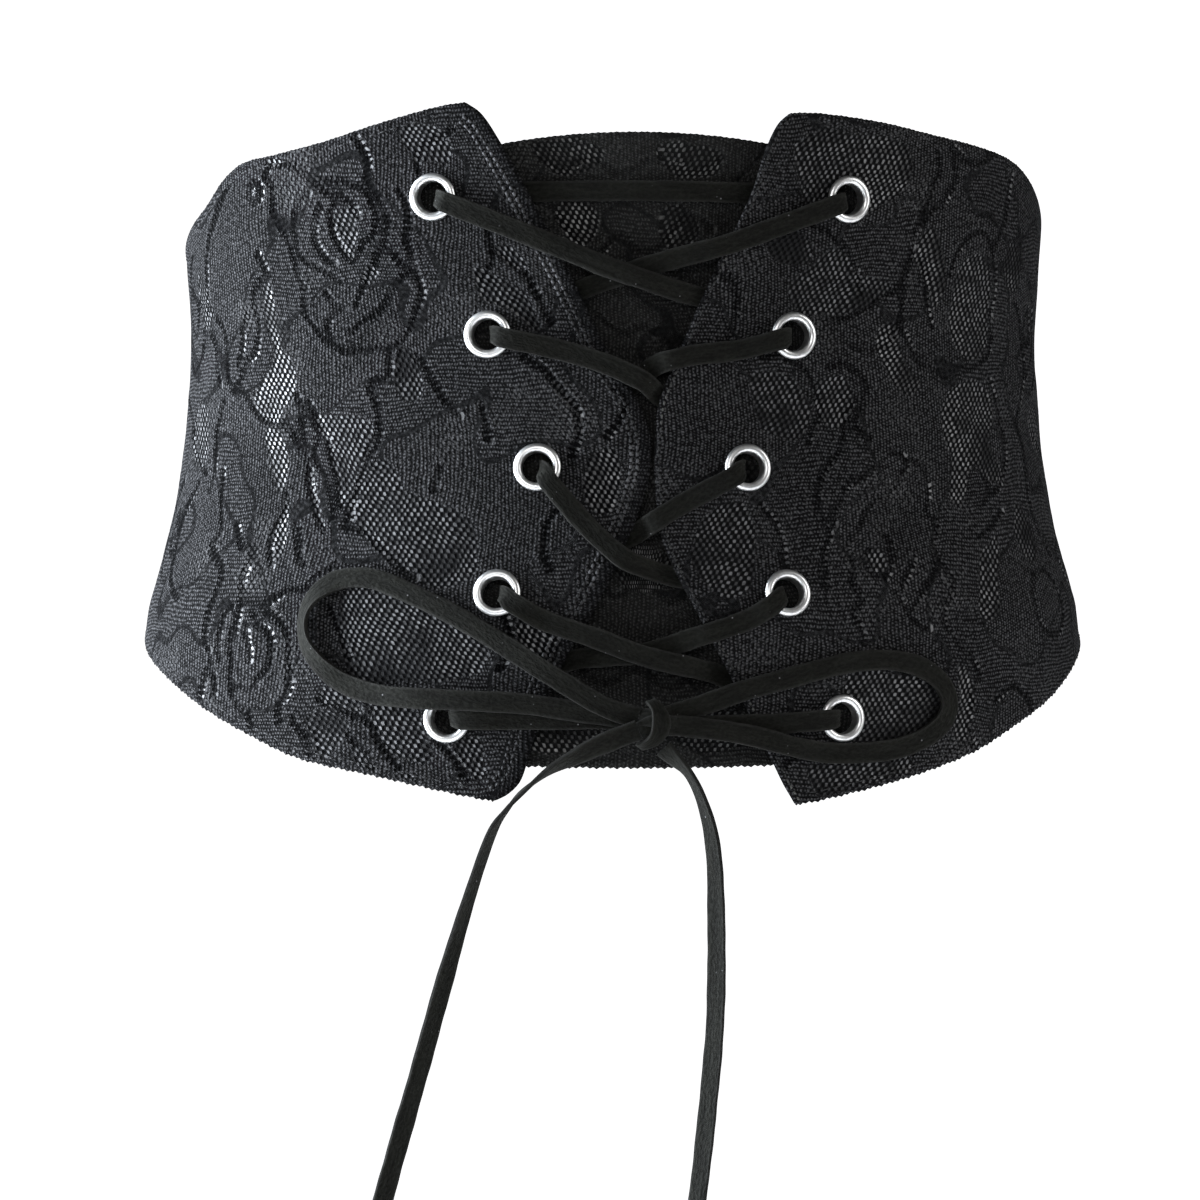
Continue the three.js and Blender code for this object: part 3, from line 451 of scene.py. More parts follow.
def reach_to(places, line, run=0.0):
    """Distance from each place to a line of points, the run along it there, and the step from
    the line to the place, across and up."""
    a, b = line[:-1], line[1:]
    span = b - a
    length = np.maximum(np.linalg.norm(span, axis=1), 1e-9)
    starts = run + np.r_[0, np.cumsum(length)[:-1]]
    nearest = np.full(len(places), 1e9)
    along = np.zeros(len(places))
    offset = np.zeros((len(places), 2))
    low, high = line.min(0) - 6, line.max(0) + 6
    inside = np.where(((places > low) & (places < high)).all(1))[0]
    for chunk in np.array_split(inside, max(1, len(inside) // 4000)):
        if not len(chunk):
            continue
        from_a = places[chunk, None, :] - a[None]
        t = np.clip((from_a * span).sum(-1) / length**2, 0, 1)
        step = from_a - t[..., None] * span
        gap = np.linalg.norm(step, axis=-1)
        pick = gap.argmin(1)
        rows = np.arange(len(chunk))
        nearest[chunk] = gap[rows, pick]
        along[chunk] = starts[pick] + t[rows, pick] * length[pick]
        offset[chunk] = step[rows, pick]
    return nearest, along, offset


def lies_within(places, outline):
    """Whether each place lies inside a closed outline."""
    x, y = places[:, 0], places[:, 1]
    inside = np.zeros(len(places), bool)
    for (x0, y0), (x1, y1) in zip(outline, np.roll(outline, -1, axis=0)):
        crosses = (y0 > y) != (y1 > y)
        if y0 != y1:
            inside ^= crosses & (x < (x1 - x0) * (y - y0) / (y1 - y0) + x0)
    return inside


FAR = 9.0
FLAT_UNIT = 100.0
LINE_START = 7.3


def uneven(places):
    """The same places with the small shifts that keep a knitted outline from being even."""
    x, y = places[:, 0], places[:, 1]
    across = 0.35 * np.sin(y / 2.6 + 1.5 * np.sin(x / 4.9)) + 0.12 * np.sin(y / 1.2 + x / 3.1)
    up = 0.35 * np.sin(x / 2.3 + 1.5 * np.sin(y / 4.3)) + 0.12 * np.sin(x / 1.1 - y / 2.7)
    return places + np.stack([across, up], -1)


def lace_fields(places, lines, nets):
    """What the lace's material and relief are drawn from: reach to the nearest outline, the run
    along it, the step from it across and up, and the depth inside a net, negative outside."""
    line_reach = np.full(len(places), FAR)
    line_run = np.zeros(len(places))
    line_step = np.full((len(places), 2), FAR)
    for number, points in enumerate(lines):
        reach, run, step = reach_to(places, through(points), LINE_START * number)
        nearer = reach < line_reach
        line_reach[nearer], line_run[nearer] = reach[nearer], run[nearer]
        line_step[nearer] = step[nearer]
    net_depth = np.full(len(places), -FAR)
    for points in nets:
        outline = through(points, 1.5, closed=True)
        reach = np.minimum(reach_to(places, np.vstack([outline, outline[:1]]))[0], FAR)
        depth = np.where(lies_within(places, outline), reach, -reach)
        net_depth = np.maximum(net_depth, depth)
    return {"line_reach": line_reach, "line_run": line_run, "net_depth": net_depth,
            "line_right": line_step[:, 0], "line_above": line_step[:, 1]}


# Materials

FULL_TURN = 2 * math.pi
# Painted shade, for the net's shaded holes, the outline slits and the hem
SHADOW_BLACK = (0.0008, 0.0008, 0.0009, 1)
SLIT_SHADE_BLACK = (0.0005, 0.0005, 0.0006, 1)
HEM_SHADE_BLACK = (0.003, 0.003, 0.0033, 1)


class Wiring:
    """Places nodes in a tree and joins their sockets."""

    def __init__(self, tree):
        self.tree = tree

    def node(self, kind, **settings):
        made = self.tree.nodes.new(kind)
        for name, value in settings.items():
            setattr(made, name, value)
        return made

    def feed(self, socket, value):
        if isinstance(value, bpy.types.NodeSocket):
            self.tree.links.new(value, socket)
        else:
            socket.default_value = value

    def fill(self, node, values):
        """Feeds a node's inputs, by name or number. A plain value is set on the socket itself."""
        for key, value in values.items():
            self.feed(node.inputs[key], value)
        return node

    def math(self, operation, *values):
        made = self.node("ShaderNodeMath", operation=operation)
        return self.fill(made, dict(enumerate(values))).outputs[0]

    def times(self, first, *others):
        for other in others:
            first = self.math("MULTIPLY", first, other)
        return first

    def plus(self, first, second):
        return self.math("ADD", first, second)

    def minus(self, first, second):
        return self.math("SUBTRACT", first, second)

    def most(self, first, second):
        return self.math("MAXIMUM", first, second)

    def wave(self, turn):
        """A sine from 0 to 1."""
        return self.math("MULTIPLY_ADD", self.math("SINE", turn), 0.5, 0.5)

    def vector(self, operation, *values):
        made = self.node("ShaderNodeVectorMath", operation=operation)
        self.fill(made, dict(enumerate(values)))
        return made.outputs[1 if operation == "LENGTH" else 0]

    def scaled(self, vector, factor):
        made = self.node("ShaderNodeVectorMath", operation="SCALE")
        return self.fill(made, {0: vector, "Scale": factor}).outputs[0]

    def drifted(self, place, reach, origin, scale, detail):
        """A place moved by noise, by up to half the reach each way."""
        drift = self.noise(origin, scale, detail, colour=True)
        drift = self.vector("SUBTRACT", drift, (0.5, 0.5, 0.5))
        return self.vector("ADD", place, self.scaled(drift, reach))

    def split(self, vector):
        """A place's right and above."""
        parts = self.fill(self.node("ShaderNodeSeparateXYZ"), {0: vector})
        return parts.outputs[0], parts.outputs[1]

    def blend(self, share, low, high):
        made = self.node("ShaderNodeMix", data_type="FLOAT")
        return self.fill(made, {0: share, 2: low, 3: high}).outputs[0]

    def tint(self, share, low, high, mode="MIX"):
        made = self.node("ShaderNodeMix", data_type="RGBA", blend_type=mode)
        return self.fill(made, {0: share, 6: low, 7: high}).outputs[2]

    def shaded(self, colour, shade):
        return self.tint(1.0, colour, shade, "MULTIPLY")

    def between(self, value, low, high, to_low=0.0, to_high=1.0):
        made = self.node("ShaderNodeMapRange", interpolation_type="SMOOTHSTEP")
        return self.fill(made, dict(enumerate((value, low, high, to_low, to_high)))).outputs[0]

    def noise(self, vector, scale, detail=2.0, colour=False):
        made = self.node("ShaderNodeTexNoise")
        self.fill(made, {"Vector": vector, "Scale": scale, "Detail": detail})
        return made.outputs[1 if colour else 0]

    def bump(self, height, distance, strength=1.0):
        made = self.node("ShaderNodeBump")
        values = {"Strength": strength, "Distance": distance, "Height": height}
        return self.fill(made, values).outputs[0]

    def attribute(self, name):
        return self.node("ShaderNodeAttribute", attribute_name=name).outputs["Fac"]

    def place(self):
        """The piece's own UV map, in millimetres."""
        return self.scaled(self.node("ShaderNodeUVMap", uv_map="flat").outputs[0], FLAT_UNIT)

    def group(self, tree, **values):
        return self.fill(self.node("ShaderNodeGroup", node_tree=tree), values).outputs


def effect(name, inputs, outputs):
    """A node group with named inputs and outputs, and the wiring to fill it."""
    tree = bpy.data.node_groups.new(name, "ShaderNodeTree")
    for label, kind, start in inputs:
        socket = tree.interface.new_socket(label, in_out="INPUT", socket_type="NodeSocket" + kind)
        if start is not None:
            socket.default_value = start
    for label in outputs:
        tree.interface.new_socket(label, in_out="OUTPUT", socket_type="NodeSocketFloat")
    wiring = Wiring(tree)
    enter = wiring.node("NodeGroupInput")
    leave = wiring.node("NodeGroupOutput")
    return tree, wiring, enter.outputs, leave


def make_open_mesh():
    """Net of fine thread in slanting rows, with painted light and shade in its holes. Hole is 1
    where the light falls into a hole, HoleShade where a hole is in its own shade."""
    tree, w, given, made = effect(
        "open_mesh",
        [("Place", "Vector", None), ("Cell", "Float", 2.0), ("Slack", "Float", 0.4)],
        ("Hole", "HoleShade", "Height"),
    )
    flat = given["Place"]
    place = w.drifted(flat, 4.5, flat, 0.06, 2)
    place = w.drifted(place, given["Slack"], flat, 0.6, 1)
    right, above = w.split(place)
    slant = w.between(right, -6, 6, 0.3, -0.3)
    columns = w.math("DIVIDE", w.math("MULTIPLY_ADD", above, slant, right), given["Cell"])
    rows = w.math("DIVIDE", above, w.times(given["Cell"], 1.3))
    beat = w.times(*(w.math("COSINE", w.times(count, FULL_TURN)) for count in (columns, rows)))
    beat = w.plus(beat, w.blend(w.noise(flat, 0.5, 1), -0.2, 0.2))
    w.fill(made, {
        "Hole": w.between(beat, 0.12, 0.5),
        "HoleShade": w.between(beat, -0.08, -0.45),
        "Height": w.between(w.math("ABSOLUTE", beat), 0.65, 0.1),
    })
    return tree


def make_knit():
    """Close ribbed knit. Height stands on the ribs; Shade, from the height and a random grain, is
    painted shade, deep between the stitches and light on the ribs.
    """
    tree, w, given, made = effect(
        "ribbed_knit",
        [("Place", "Vector", None), ("Rib", "Float", 1.0), ("Stitch", "Float", 0.8),
         ("Drift", "Float", 1.4)],
        ("Height", "Shade"),
    )
    flat = given["Place"]
    place = w.drifted(flat, w.times(given["Drift"], 5), flat, 0.035, 2)
    right, above = w.split(w.drifted(place, 0.9, flat, 0.7, 2))
    crosswise = w.between(w.noise(flat, 0.03, 1), 0.52, 0.54)
    column = w.math("DIVIDE", w.blend(crosswise, right, above), given["Rib"])
    rib = w.wave(w.times(column, FULL_TURN))
    stagger = w.times(w.math("FLOOR", column), math.pi)
    rows = w.math("DIVIDE", w.blend(crosswise, above, right), given["Stitch"])
    stitch = w.wave(w.math("MULTIPLY_ADD", rows, FULL_TURN, stagger))
    height = w.times(w.math("POWER", rib, 0.8), w.blend(stitch, 0.2, 1.0))
    grain = w.between(w.noise(flat, 0.9, 3), 0.34, 0.66)
    height = w.plus(w.times(height, 0.72), w.times(grain, 0.42))
    shade = w.math("POWER", w.between(height, 0.12, 1.0), 1.7)
    w.fill(made, {"Height": height, "Shade": shade})
    return tree


def make_openwork():
    """A drawn outline: a toothed slit, which the lace's material fills with painted shade, and
    beads of leather with painted glints on its lit side.
    """
    tree, w, given, made = effect(
        "openwork_line",
        [("Reach", "Float", 9.0), ("Right", "Float", 9.0), ("Above", "Float", 9.0),
         ("Run", "Float", 0.0), ("Place", "Vector", None)],
        ("Hole", "Line", "Cord"),
    )
    flat = given["Place"]
    step = w.fill(w.node("ShaderNodeCombineXYZ"), {0: given["Right"], 1: given["Above"]})
    reach = w.most(w.vector("LENGTH", step.outputs[0]), w.minus(given["Reach"], 0.5))
    reach = w.plus(reach, w.blend(w.noise(flat, 0.8, 1), -0.3, 0.3))
    run = w.plus(given["Run"], w.blend(w.noise(flat, 0.4, 1), -0.8, 0.8))
    beat = w.math("SINE", w.times(run, FULL_TURN / 1.65))
    core = w.times(w.between(reach, 0.65, 0.4), w.between(beat, -0.95, -0.3, 0.35, 1.0))
    coarse = w.between(w.noise(flat, 0.06, 2), 0.42, 0.52)
    spare = w.minus(w.blend(coarse, 0.8, 1.4), reach)
    tooth = w.times(w.between(spare, -0.15, 0.15), w.between(beat, -0.15, 0.25))
    faint = w.blend(w.between(w.noise(flat, 0.11, 2), 0.38, 0.5), 0.5, 1.0)
    # painted glints: the beads lie only on the line's right, the side the light falls on
    bead = w.times(w.between(given["Right"], 0.4, 0.65), w.between(reach, 1.6, 1.3),
                   w.between(beat, 0.0, -0.4))
    shown = w.between(w.noise(flat, 0.075, 4), 0.49, 0.62)
    w.fill(made, {
        "Hole": w.times(bead, shown),
        "Line": w.times(w.most(core, tooth), faint),
        "Cord": w.times(w.between(reach, 1.0, 1.4), w.between(reach, 2.6, 1.8)),
    })
    return tree


def make_lint():
    """Sparse pale specks of lint and dust."""
    tree, w, given, made = effect(
        "lint", [("Place", "Vector", None), ("Amount", "Float", 0.5)], ("Speck",)
    )
    spots = w.fill(w.node("ShaderNodeTexVoronoi"), {"Vector": given["Place"], "Scale": 0.42})
    near = w.between(spots.outputs["Distance"], 0.11, 0.05)
    some = w.between(w.noise(given["Place"], 0.21, 1), 0.56, 0.62)
    w.fill(made, {"Speck": w.times(near, some, given["Amount"])})
    return tree


OPEN_MESH = make_open_mesh()
KNIT = make_knit()
OPENWORK = make_openwork()
LINT = make_lint()


def material(name):
    made = bpy.data.materials.new(name)
    made.use_nodes = True
    made.node_tree.nodes.clear()
    w = Wiring(made.node_tree)
    shader = w.node("ShaderNodeBsdfPrincipled")
    w.fill(w.node("ShaderNodeOutputMaterial"), {"Surface": shader.outputs[0]})
    return made, w, shader


def lace_material(name, knit, thread, leather, gloss, deep, light, drawn):
    """Knitted lace with open net, over smooth black leather that glints through it; part of the
    glint is painted. Deep and light are the knit's painted shade in its gaps and painted light on
    its ribs.
    Drawn is how dark the painted shade in the net's holes and the outlines is."""
    made, w, shader = material(name)
    place = w.place()
    net = w.group(OPEN_MESH, Place=place, Cell=1.85, Slack=0.4)
    rib = w.group(KNIT, Place=place, Rib=1.05, Stitch=0.85, Drift=1.4)
    line = w.group(OPENWORK, Reach=w.attribute("line_reach"), Right=w.attribute("line_right"),
                   Above=w.attribute("line_above"), Run=w.attribute("line_run"), Place=place)
    # where the net lies, and where the knit is loose enough to show holes
    depth = w.plus(w.attribute("net_depth"), w.blend(w.noise(place, 0.6, 3), -1.0, 1.0))
    hem = w.between(w.attribute("front_reach"), 3.2, 2.2)
    in_net = w.times(w.between(depth, -0.5, 0.5), w.between(w.attribute("edge_reach"), 0.6, 1.4),
                     w.blend(hem, 1.0, 0.2))
    loose = w.times(w.between(w.noise(place, 0.045, 3), 0.52, 0.64), 0.22, w.minus(1.0, hem))
    hole = w.most(w.times(net["Hole"], in_net), w.times(net["Hole"], loose))
    hole = w.most(hole, line["Hole"])
    # the cloth's colour: random patches of tone with painted light on the ridges beside the
    # outlines, the knit's painted shade and light, its thread, painted shade in the net's holes,
    # on the hem and in the outline slits, and lint
    patches_and_ridge_light = w.times(w.blend(w.noise(place, 0.05, 4), 0.6, 1.4), w.blend(line["Cord"], 1.0, 1.2))
    cloth = w.shaded(knit, w.times(w.blend(rib["Shade"], deep, light), patches_and_ridge_light))
    cloth = w.tint(in_net, cloth, thread)
    # painted shade in the part of each net hole that lies in its own shade
    gap = w.times(net["HoleShade"], w.most(in_net, loose))
    # how deep the painted shade in the holes and outline slits is: deeper on the left panel than
    # the right
    dark = w.between(w.split(place)[0], -8, 8, 0.97 * drawn, 0.72 * drawn)
    cloth = w.tint(w.times(gap, dark), cloth, SHADOW_BLACK)
    # painted shade on the hem along the left panel's inner edge
    cloth = w.tint(w.times(hem, 0.6), cloth, HEM_SHADE_BLACK)
    # painted shade in the outline slits
    cloth = w.tint(w.times(line["Line"], dark), cloth, SLIT_SHADE_BLACK)
    cloth = w.tint(w.group(LINT, Place=place, Amount=0.4)["Speck"], cloth, (0.1, 0.1, 0.105, 1))
    # the leather behind it, with painted glints in patches and in the beads beside the outlines
    spark = w.blend(w.between(w.noise(place, 0.42, 1), 0.38, 0.6), 0.25, 1.0)
    lit = w.times(w.between(w.noise(place, 0.06, 3), 0.34, 0.54), spark)
    lit = w.most(lit, w.times(line["Hole"], 0.8))
    skin = w.shaded(leather, w.blend(lit, 0.3, 3.2))
    # the relief
    height = w.plus(w.blend(in_net, rib["Height"], net["Height"]), w.times(line["Cord"], 0.35))
    height = w.minus(height, w.times(line["Line"], 0.9))
    height = w.times(w.plus(height, 0.5), w.minus(1.0, w.times(hole, 0.85)))
    height = w.plus(height, w.times(w.noise(place, 0.075, 3), 3.2))
    w.fill(shader, {
        "Base Color": w.tint(hole, cloth, skin),
        "Roughness": w.blend(hole, w.blend(rib["Shade"], 1.0, 0.75), 0.5),
        "Coat Weight": w.times(hole, w.blend(lit, 0.12, gloss)),
        "Coat Roughness": 0.3,
        "Coat IOR": 1.7,
        "Normal": w.bump(height, 0.0005),
        "Specular IOR Level": 0.05,
        "Sheen Weight": 0.01,
        "Sheen Roughness": 0.4,
        "Sheen Tint": (0.82, 0.86, 1.0, 1),
    })
    return made


def lining_material():
    """Plain black woven lining, in a fine twill."""
    made, w, shader = material("lining_twill")
    place = w.place()
    right, above = w.split(place)
    twill = w.wave(w.times(w.plus(right, above), 7.4))
    weft = w.wave(w.times(above, 13.0))
    height = w.plus(w.times(twill, 0.7), w.times(weft, 0.3))
    # painted shade in the weave's grooves, with random mottling
    shade = w.times(w.blend(height, 0.7, 1.15), w.blend(w.noise(place, 0.06, 4), 0.7, 1.35))
    w.fill(shader, {
        "Base Color": w.shaded((0.014, 0.014, 0.016, 1), shade),
        "Roughness": w.blend(height, 0.62, 0.5),
        "Normal": w.bump(height, 0.0001, 0.7),
        "Sheen Weight": 0.15,
    })
    return made


def elastic_material():
    """Black elastic webbing: rubber cords run round the waist, bound by a fine cross thread."""
    made, w, shader = material("ribbed_elastic")
    place = w.place()
    right, above = w.split(w.drifted(place, 0.8, place, 0.05, 2))
    cord = w.math("POWER", w.wave(w.times(above, FULL_TURN / ELASTIC_ROW)), 0.6)
    stagger = w.times(w.math("FLOOR", w.math("DIVIDE", above, ELASTIC_ROW)), math.pi)
    pick = w.wave(w.math("MULTIPLY_ADD", right, FULL_TURN, stagger))
    height = w.plus(w.times(cord, w.blend(pick, 0.7, 1.0)), w.times(w.noise(place, 2.2, 2), 0.25))
    # painted shade between the rubber cords, with random mottling
    shade = w.times(w.blend(height, 0.5, 1.2), w.blend(w.noise(place, 0.04, 3), 0.8, 1.25))
    w.fill(shader, {
        "Base Color": w.shaded((0.013, 0.013, 0.0145, 1), shade),
        "Roughness": w.blend(height, 0.85, 0.6),
        "Normal": w.bump(height, 0.0004, 0.9),
        "Sheen Weight": 0.08,
    })
    return made


def suede_material():
    """Flat black suede cord: a soft nap, paler along the cut edges, with some lint."""
    made, w, shader = material("suede_cord")
    place = w.place()
    nap = w.noise(w.vector("MULTIPLY", place, (0.8, 1.4, 1.0)), 1.0, 4)
    nap = w.between(nap, 0.3, 0.7)
    brushed = w.noise(w.vector("MULTIPLY", place, (0.12, 0.6, 1.0)), 0.7, 3)
    brushed = w.between(brushed, 0.34, 0.66)
    shade = w.times(w.blend(nap, 0.65, 1.3), w.blend(brushed, 0.72, 1.25))
    body = w.shaded((0.007, 0.0072, 0.0058, 1), shade)
    cut = w.times(w.attribute("cut_edge"), w.blend(w.noise(place, 0.5, 2), 0.1, 0.8))
    body = w.tint(cut, body, (0.028, 0.0275, 0.026, 1))
    body = w.tint(w.group(LINT, Place=place, Amount=0.6)["Speck"], body, (0.3, 0.3, 0.31, 1))
    w.fill(shader, {
        "Base Color": body,
        "Roughness": w.blend(nap, 0.95, 0.8),
        "Normal": w.bump(w.plus(w.times(nap, 0.6), w.times(brushed, 0.6)), 0.00022, 0.9),
        "Specular IOR Level": 0.1,
        "Sheen Weight": 0.03,
        "Sheen Roughness": 0.6,
        "Sheen Tint": (0.95, 0.95, 0.88, 1),
    })
    return made


def nickel_material():
    """Bright pressed nickel with fine turning marks and light handling wear."""
    made, w, shader = material("pressed_nickel")
    place = w.place()
    worn = w.noise(place, 0.9, 4)
    rings = w.noise(w.vector("MULTIPLY", place, (0.15, 3.0, 1.0)), 1.5, 2)
    bright, dull = (0.97, 0.97, 0.965, 1), (0.86, 0.86, 0.85, 1)
    w.fill(shader, {
        "Base Color": w.tint(w.between(worn, 0.42, 0.7), bright, dull),
        "Roughness": w.blend(worn, 0.3, 0.44),
        "Normal": w.bump(rings, 0.00002, 0.5),
        "Metallic": 1.0,
    })
    return made


def thread_material(name, dark, light):
    """Polyester sewing thread, twisted, with a soft gloss."""
    made, w, shader = material(name)
    place = w.node("ShaderNodeTexCoord").outputs["Object"]
    fibre = w.noise(place, 2600, 2)
    w.fill(shader, {
        "Base Color": w.tint(w.between(w.noise(place, 70, 4), 0.46, 0.62), dark, light),
        "Roughness": w.blend(fibre, 0.55, 0.75),
        "Normal": w.bump(fibre, 0.00005, 0.6),
    })
    return made


LACE = lace_material(
    "lace_over_leather", knit=(0.0275, 0.0275, 0.0286, 1), thread=(0.013, 0.013, 0.0136, 1),
    leather=(0.059, 0.059, 0.0605, 1), gloss=0.5, deep=0.2, light=3.3, drawn=1.0)
# A shaded copy of the same lace, for the cover lying in shade behind the panels: darker painted
# glints on its leather and less painted light and shade in its knit, holes and outlines.
SHADED_COVER_LACE = lace_material(
    "lace_cover", knit=(0.0275, 0.0275, 0.0268, 1), thread=(0.012, 0.012, 0.012, 1),
    leather=(0.04, 0.04, 0.039, 1), gloss=0.9, deep=0.5, light=1.9, drawn=0.45)
LINING = lining_material()
ELASTIC = elastic_material()
SUEDE = suede_material()
NICKEL = nickel_material()
THREAD = thread_material("sewing_thread", (0.004, 0.004, 0.0045, 1), (0.009, 0.009, 0.01, 1))
# The chain rows' threads: their pale mottle is a painted glint, a lit copy on the left panel and a
# dimmer, shaded copy on the right.
CHAIN = {
    -1: thread_material("chain_thread_lit_left", (0.01, 0.01, 0.011, 1), (0.085, 0.085, 0.09, 1)),
    1: thread_material("chain_thread_shaded_right", (0.006, 0.006, 0.006, 1), (0.075, 0.075, 0.07, 1)),
}


# Making pieces

SPIN_STEPS = 64
THINNEST_SHARE = 0.2
EDGE_ROLL = 1.3


def select_only(piece):
    bpy.ops.object.select_all(action="DESELECT")
    bpy.context.view_layer.objects.active = piece
    piece.select_set(True)


def finish_piece(piece, angle=40):
    """A finished piece is smooth-shaded and rides with the belt."""
    select_only(piece)
    bpy.ops.object.shade_smooth_by_angle(angle=math.radians(angle))
    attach(piece, "root")
    return piece


def new_piece(name, points, edges, faces):
    """A piece from points in metres, in the scene."""
    mesh = bpy.data.meshes.new(name)
    mesh.from_pydata(points, edges, faces)
    piece = bpy.data.objects.new(name, mesh)
    scene.collection.objects.link(piece)
    return piece


def turn_outwards(piece, spin=False):
    """Turns a piece's faces outwards, after its profile is spun round and closed if it has one."""
    select_only(piece)
    bpy.ops.object.mode_set(mode="EDIT")
    bpy.ops.mesh.select_all(action="SELECT")
    if spin:
        bpy.ops.mesh.spin(steps=SPIN_STEPS, angle=FULL_TURN, center=(0, 0, 0), axis=(0, 0, 1))
        bpy.ops.mesh.select_all(action="SELECT")
        bpy.ops.mesh.remove_doubles(threshold=1e-6)
    bpy.ops.mesh.normals_make_consistent(inside=False)
    bpy.ops.object.mode_set(mode="OBJECT")


def bare_map(mesh):
    """Takes a primitive's own UV map off."""
    for layer in list(mesh.uv_layers):
        mesh.uv_layers.remove(layer)


def set_flat_map(mesh, flat):
    """The UV map, from each vertex's own place on the flat cloth in millimetres."""
    layer = mesh.uv_layers.new(name="flat")
    corners = np.empty(len(mesh.loops), np.int32)
    mesh.loops.foreach_get("vertex_index", corners)
    layer.data.foreach_set("uv", (flat[corners] / FLAT_UNIT).astype(np.float32).ravel())


def set_values(mesh, name, values):
    layer = mesh.attributes.new(name, "FLOAT", "POINT")
    layer.data.foreach_set("value", values.astype(np.float32))


def cloth_grid(name, columns, rows):
    """A flat grid primitive to be laid on the wall, with the place of each vertex in it."""
    bpy.ops.mesh.primitive_grid_add(x_subdivisions=len(columns) - 1, y_subdivisions=len(rows) - 1,
                                    size=2)
    piece = bpy.context.object
    piece.name = piece.data.name = name
    mesh = piece.data
    co = np.empty(len(mesh.vertices) * 3, np.float32)
    mesh.vertices.foreach_get("co", co)
    co = co.reshape(-1, 3)
    i = np.rint((co[:, 0] + 1) / 2 * (len(columns) - 1)).astype(int)
    j = np.rint((co[:, 1] + 1) / 2 * (len(rows) - 1)).astype(int)
    bare_map(mesh)
    return piece, np.array(columns)[i], np.array(rows)[j]


def crowded(length, gap, border=(0.0, 0.35, 0.8, 1.4, 2.2)):
    """Shares of a length about a gap apart, and closer together at both ends."""
    near = np.array(border) / length
    count = max(2, round((length - 2 * border[-1]) / gap))
    middle = np.linspace(near[-1], 1 - near[-1], count + 1)
    return np.r_[near[:-1], middle, 1 - near[:-1][::-1]]


def thicken(piece, thickness, share, cloths):
    """Gives the laid cloth its thickness inwards, at each vertex's share of it, and its cloths:
    the face and, where there are two, the lining."""
    full = piece.vertex_groups.new(name="full")
    share = np.round(np.clip(share, THINNEST_SHARE, 1), 2)
    for step in np.unique(share):
        full.add(np.where(share == step)[0].tolist(), float(step), "REPLACE")
    for cloth in cloths:
        piece.data.materials.append(cloth)
    select_only(piece)
    solid = piece.modifiers.new("thickness", "SOLIDIFY")
    solid.thickness = thickness * MM
    solid.offset = -1
    solid.vertex_group = full.name
    solid.thickness_vertex_group = 0.0
    solid.material_offset = len(cloths) - 1
    bpy.ops.object.modifier_apply(modifier=solid.name)


def put_on_wall(piece, across, up, out):
    co = wall(across, up, out) * MM
    piece.data.vertices.foreach_set("co", co.astype(np.float32).ravel())
    piece.data.update()


def panel_border(side):
    """The panel's outline, across and up."""
    column = 1 if side < 0 else 2
    share = np.linspace(0, 1, 200)
    inner = follow(INNER_EDGE, column)
    top, bottom = follow(TOP_EDGE, column), follow(BOTTOM_EDGE, column)

    def at(along, rise):
        start = inner(rise) * LACED_OPENING
        low, high = bottom(along) * FRONT_HEIGHT, top(along) * FRONT_HEIGHT
        return side * (start + (PANEL_REACH - start) * along), low + (high - low) * rise

    edges = {
        "inner": np.stack(at(0 * share, share), -1),
        "top": np.stack(at(share, 0 * share + 1), -1),
        "seam": np.stack(at(0 * share + 1, share), -1),
        "bottom": np.stack(at(share, 0 * share), -1),
    }
    return at, edges


EDGE_DROP = 0.75
EDGE_SPARE = 0.05
EDGE_SINK = 0.12
CALM_EDGE = (1.0, 3.5)
FACE_SINK = 0.26
NET_SINK = 0.28
RIDGE, RIDGE_REACH, RIDGE_WIDTH = 0.1, 1.7, 0.7
GROOVE, GROOVE_WIDTH = 0.24, 0.6
STITCH_GROOVE, STITCH_GROOVE_WIDTH = 0.14, 0.45
# Distances of the chain stitching from the inner edge, left and right
STITCH_ROWS = {-1: (3.6, 5.3), 1: (1.3,)}
# How far round an eyelet the cloth is pressed down, past the flange and under it, and how deep
PRESS_OUT, PRESS_IN, PRESS_DEPTH = 1.5, 0.3, 0.1
# What lies this far into a hole stays, and the rim is drawn in from this far round it
HOLE_SPARE = 0.45
RIM_REACH = 2.5


def edge_drop(edge_reach):
    """How far the rolled edge falls from the cloth's face."""
    t = np.clip(1 - edge_reach / EDGE_ROLL, 0, 1)
    return EDGE_DROP * (1 - np.sqrt(np.maximum(1 - t * t, 0)))


def hump(reach, width):
    return np.exp(-((reach / width) ** 2))


def lace_relief(places, fields):
    """The lace's real relief: motifs proud of the net, and outlines drawn into them."""
    x, y = places[:, 0], places[:, 1]
    puff = 0.16 * np.sin(x / 6.1 + 1.7 * np.sin(y / 9.3)) * np.sin(y / 7.3 + 1.3 * np.sin(x / 8.7))
    relief = puff - FACE_SINK - NET_SINK * smooth(fields["net_depth"], -0.9, 0.7)
    relief += RIDGE * hump(fields["line_reach"] - RIDGE_REACH, RIDGE_WIDTH)
    return relief - GROOVE * hump(fields["line_reach"], GROOVE_WIDTH)


def ragged_edge(across, share, rise):
    """The knit's toothed top and bottom edges: every other column of the grid stands out."""
    column = np.unique(share, return_inverse=True)[1]
    tooth = 0.24 * (2 * (column % 2) - 1) + 0.12 * np.sin(across * 1.31 + 2 * np.sin(across / 5.3))
    border = (rise < 1e-6) * -1.0 + (rise > 1 - 1e-6) * 0.4
    return border * tooth


def lay_lace(piece, places, depth, out, fields):
    """Lays the lace on the wall, with its flat map and what its material is drawn from."""
    put_on_wall(piece, places[:, 0], places[:, 1], depth + out)
    set_flat_map(piece.data, places)
    for field, values in fields.items():
        set_values(piece.data, field, values)


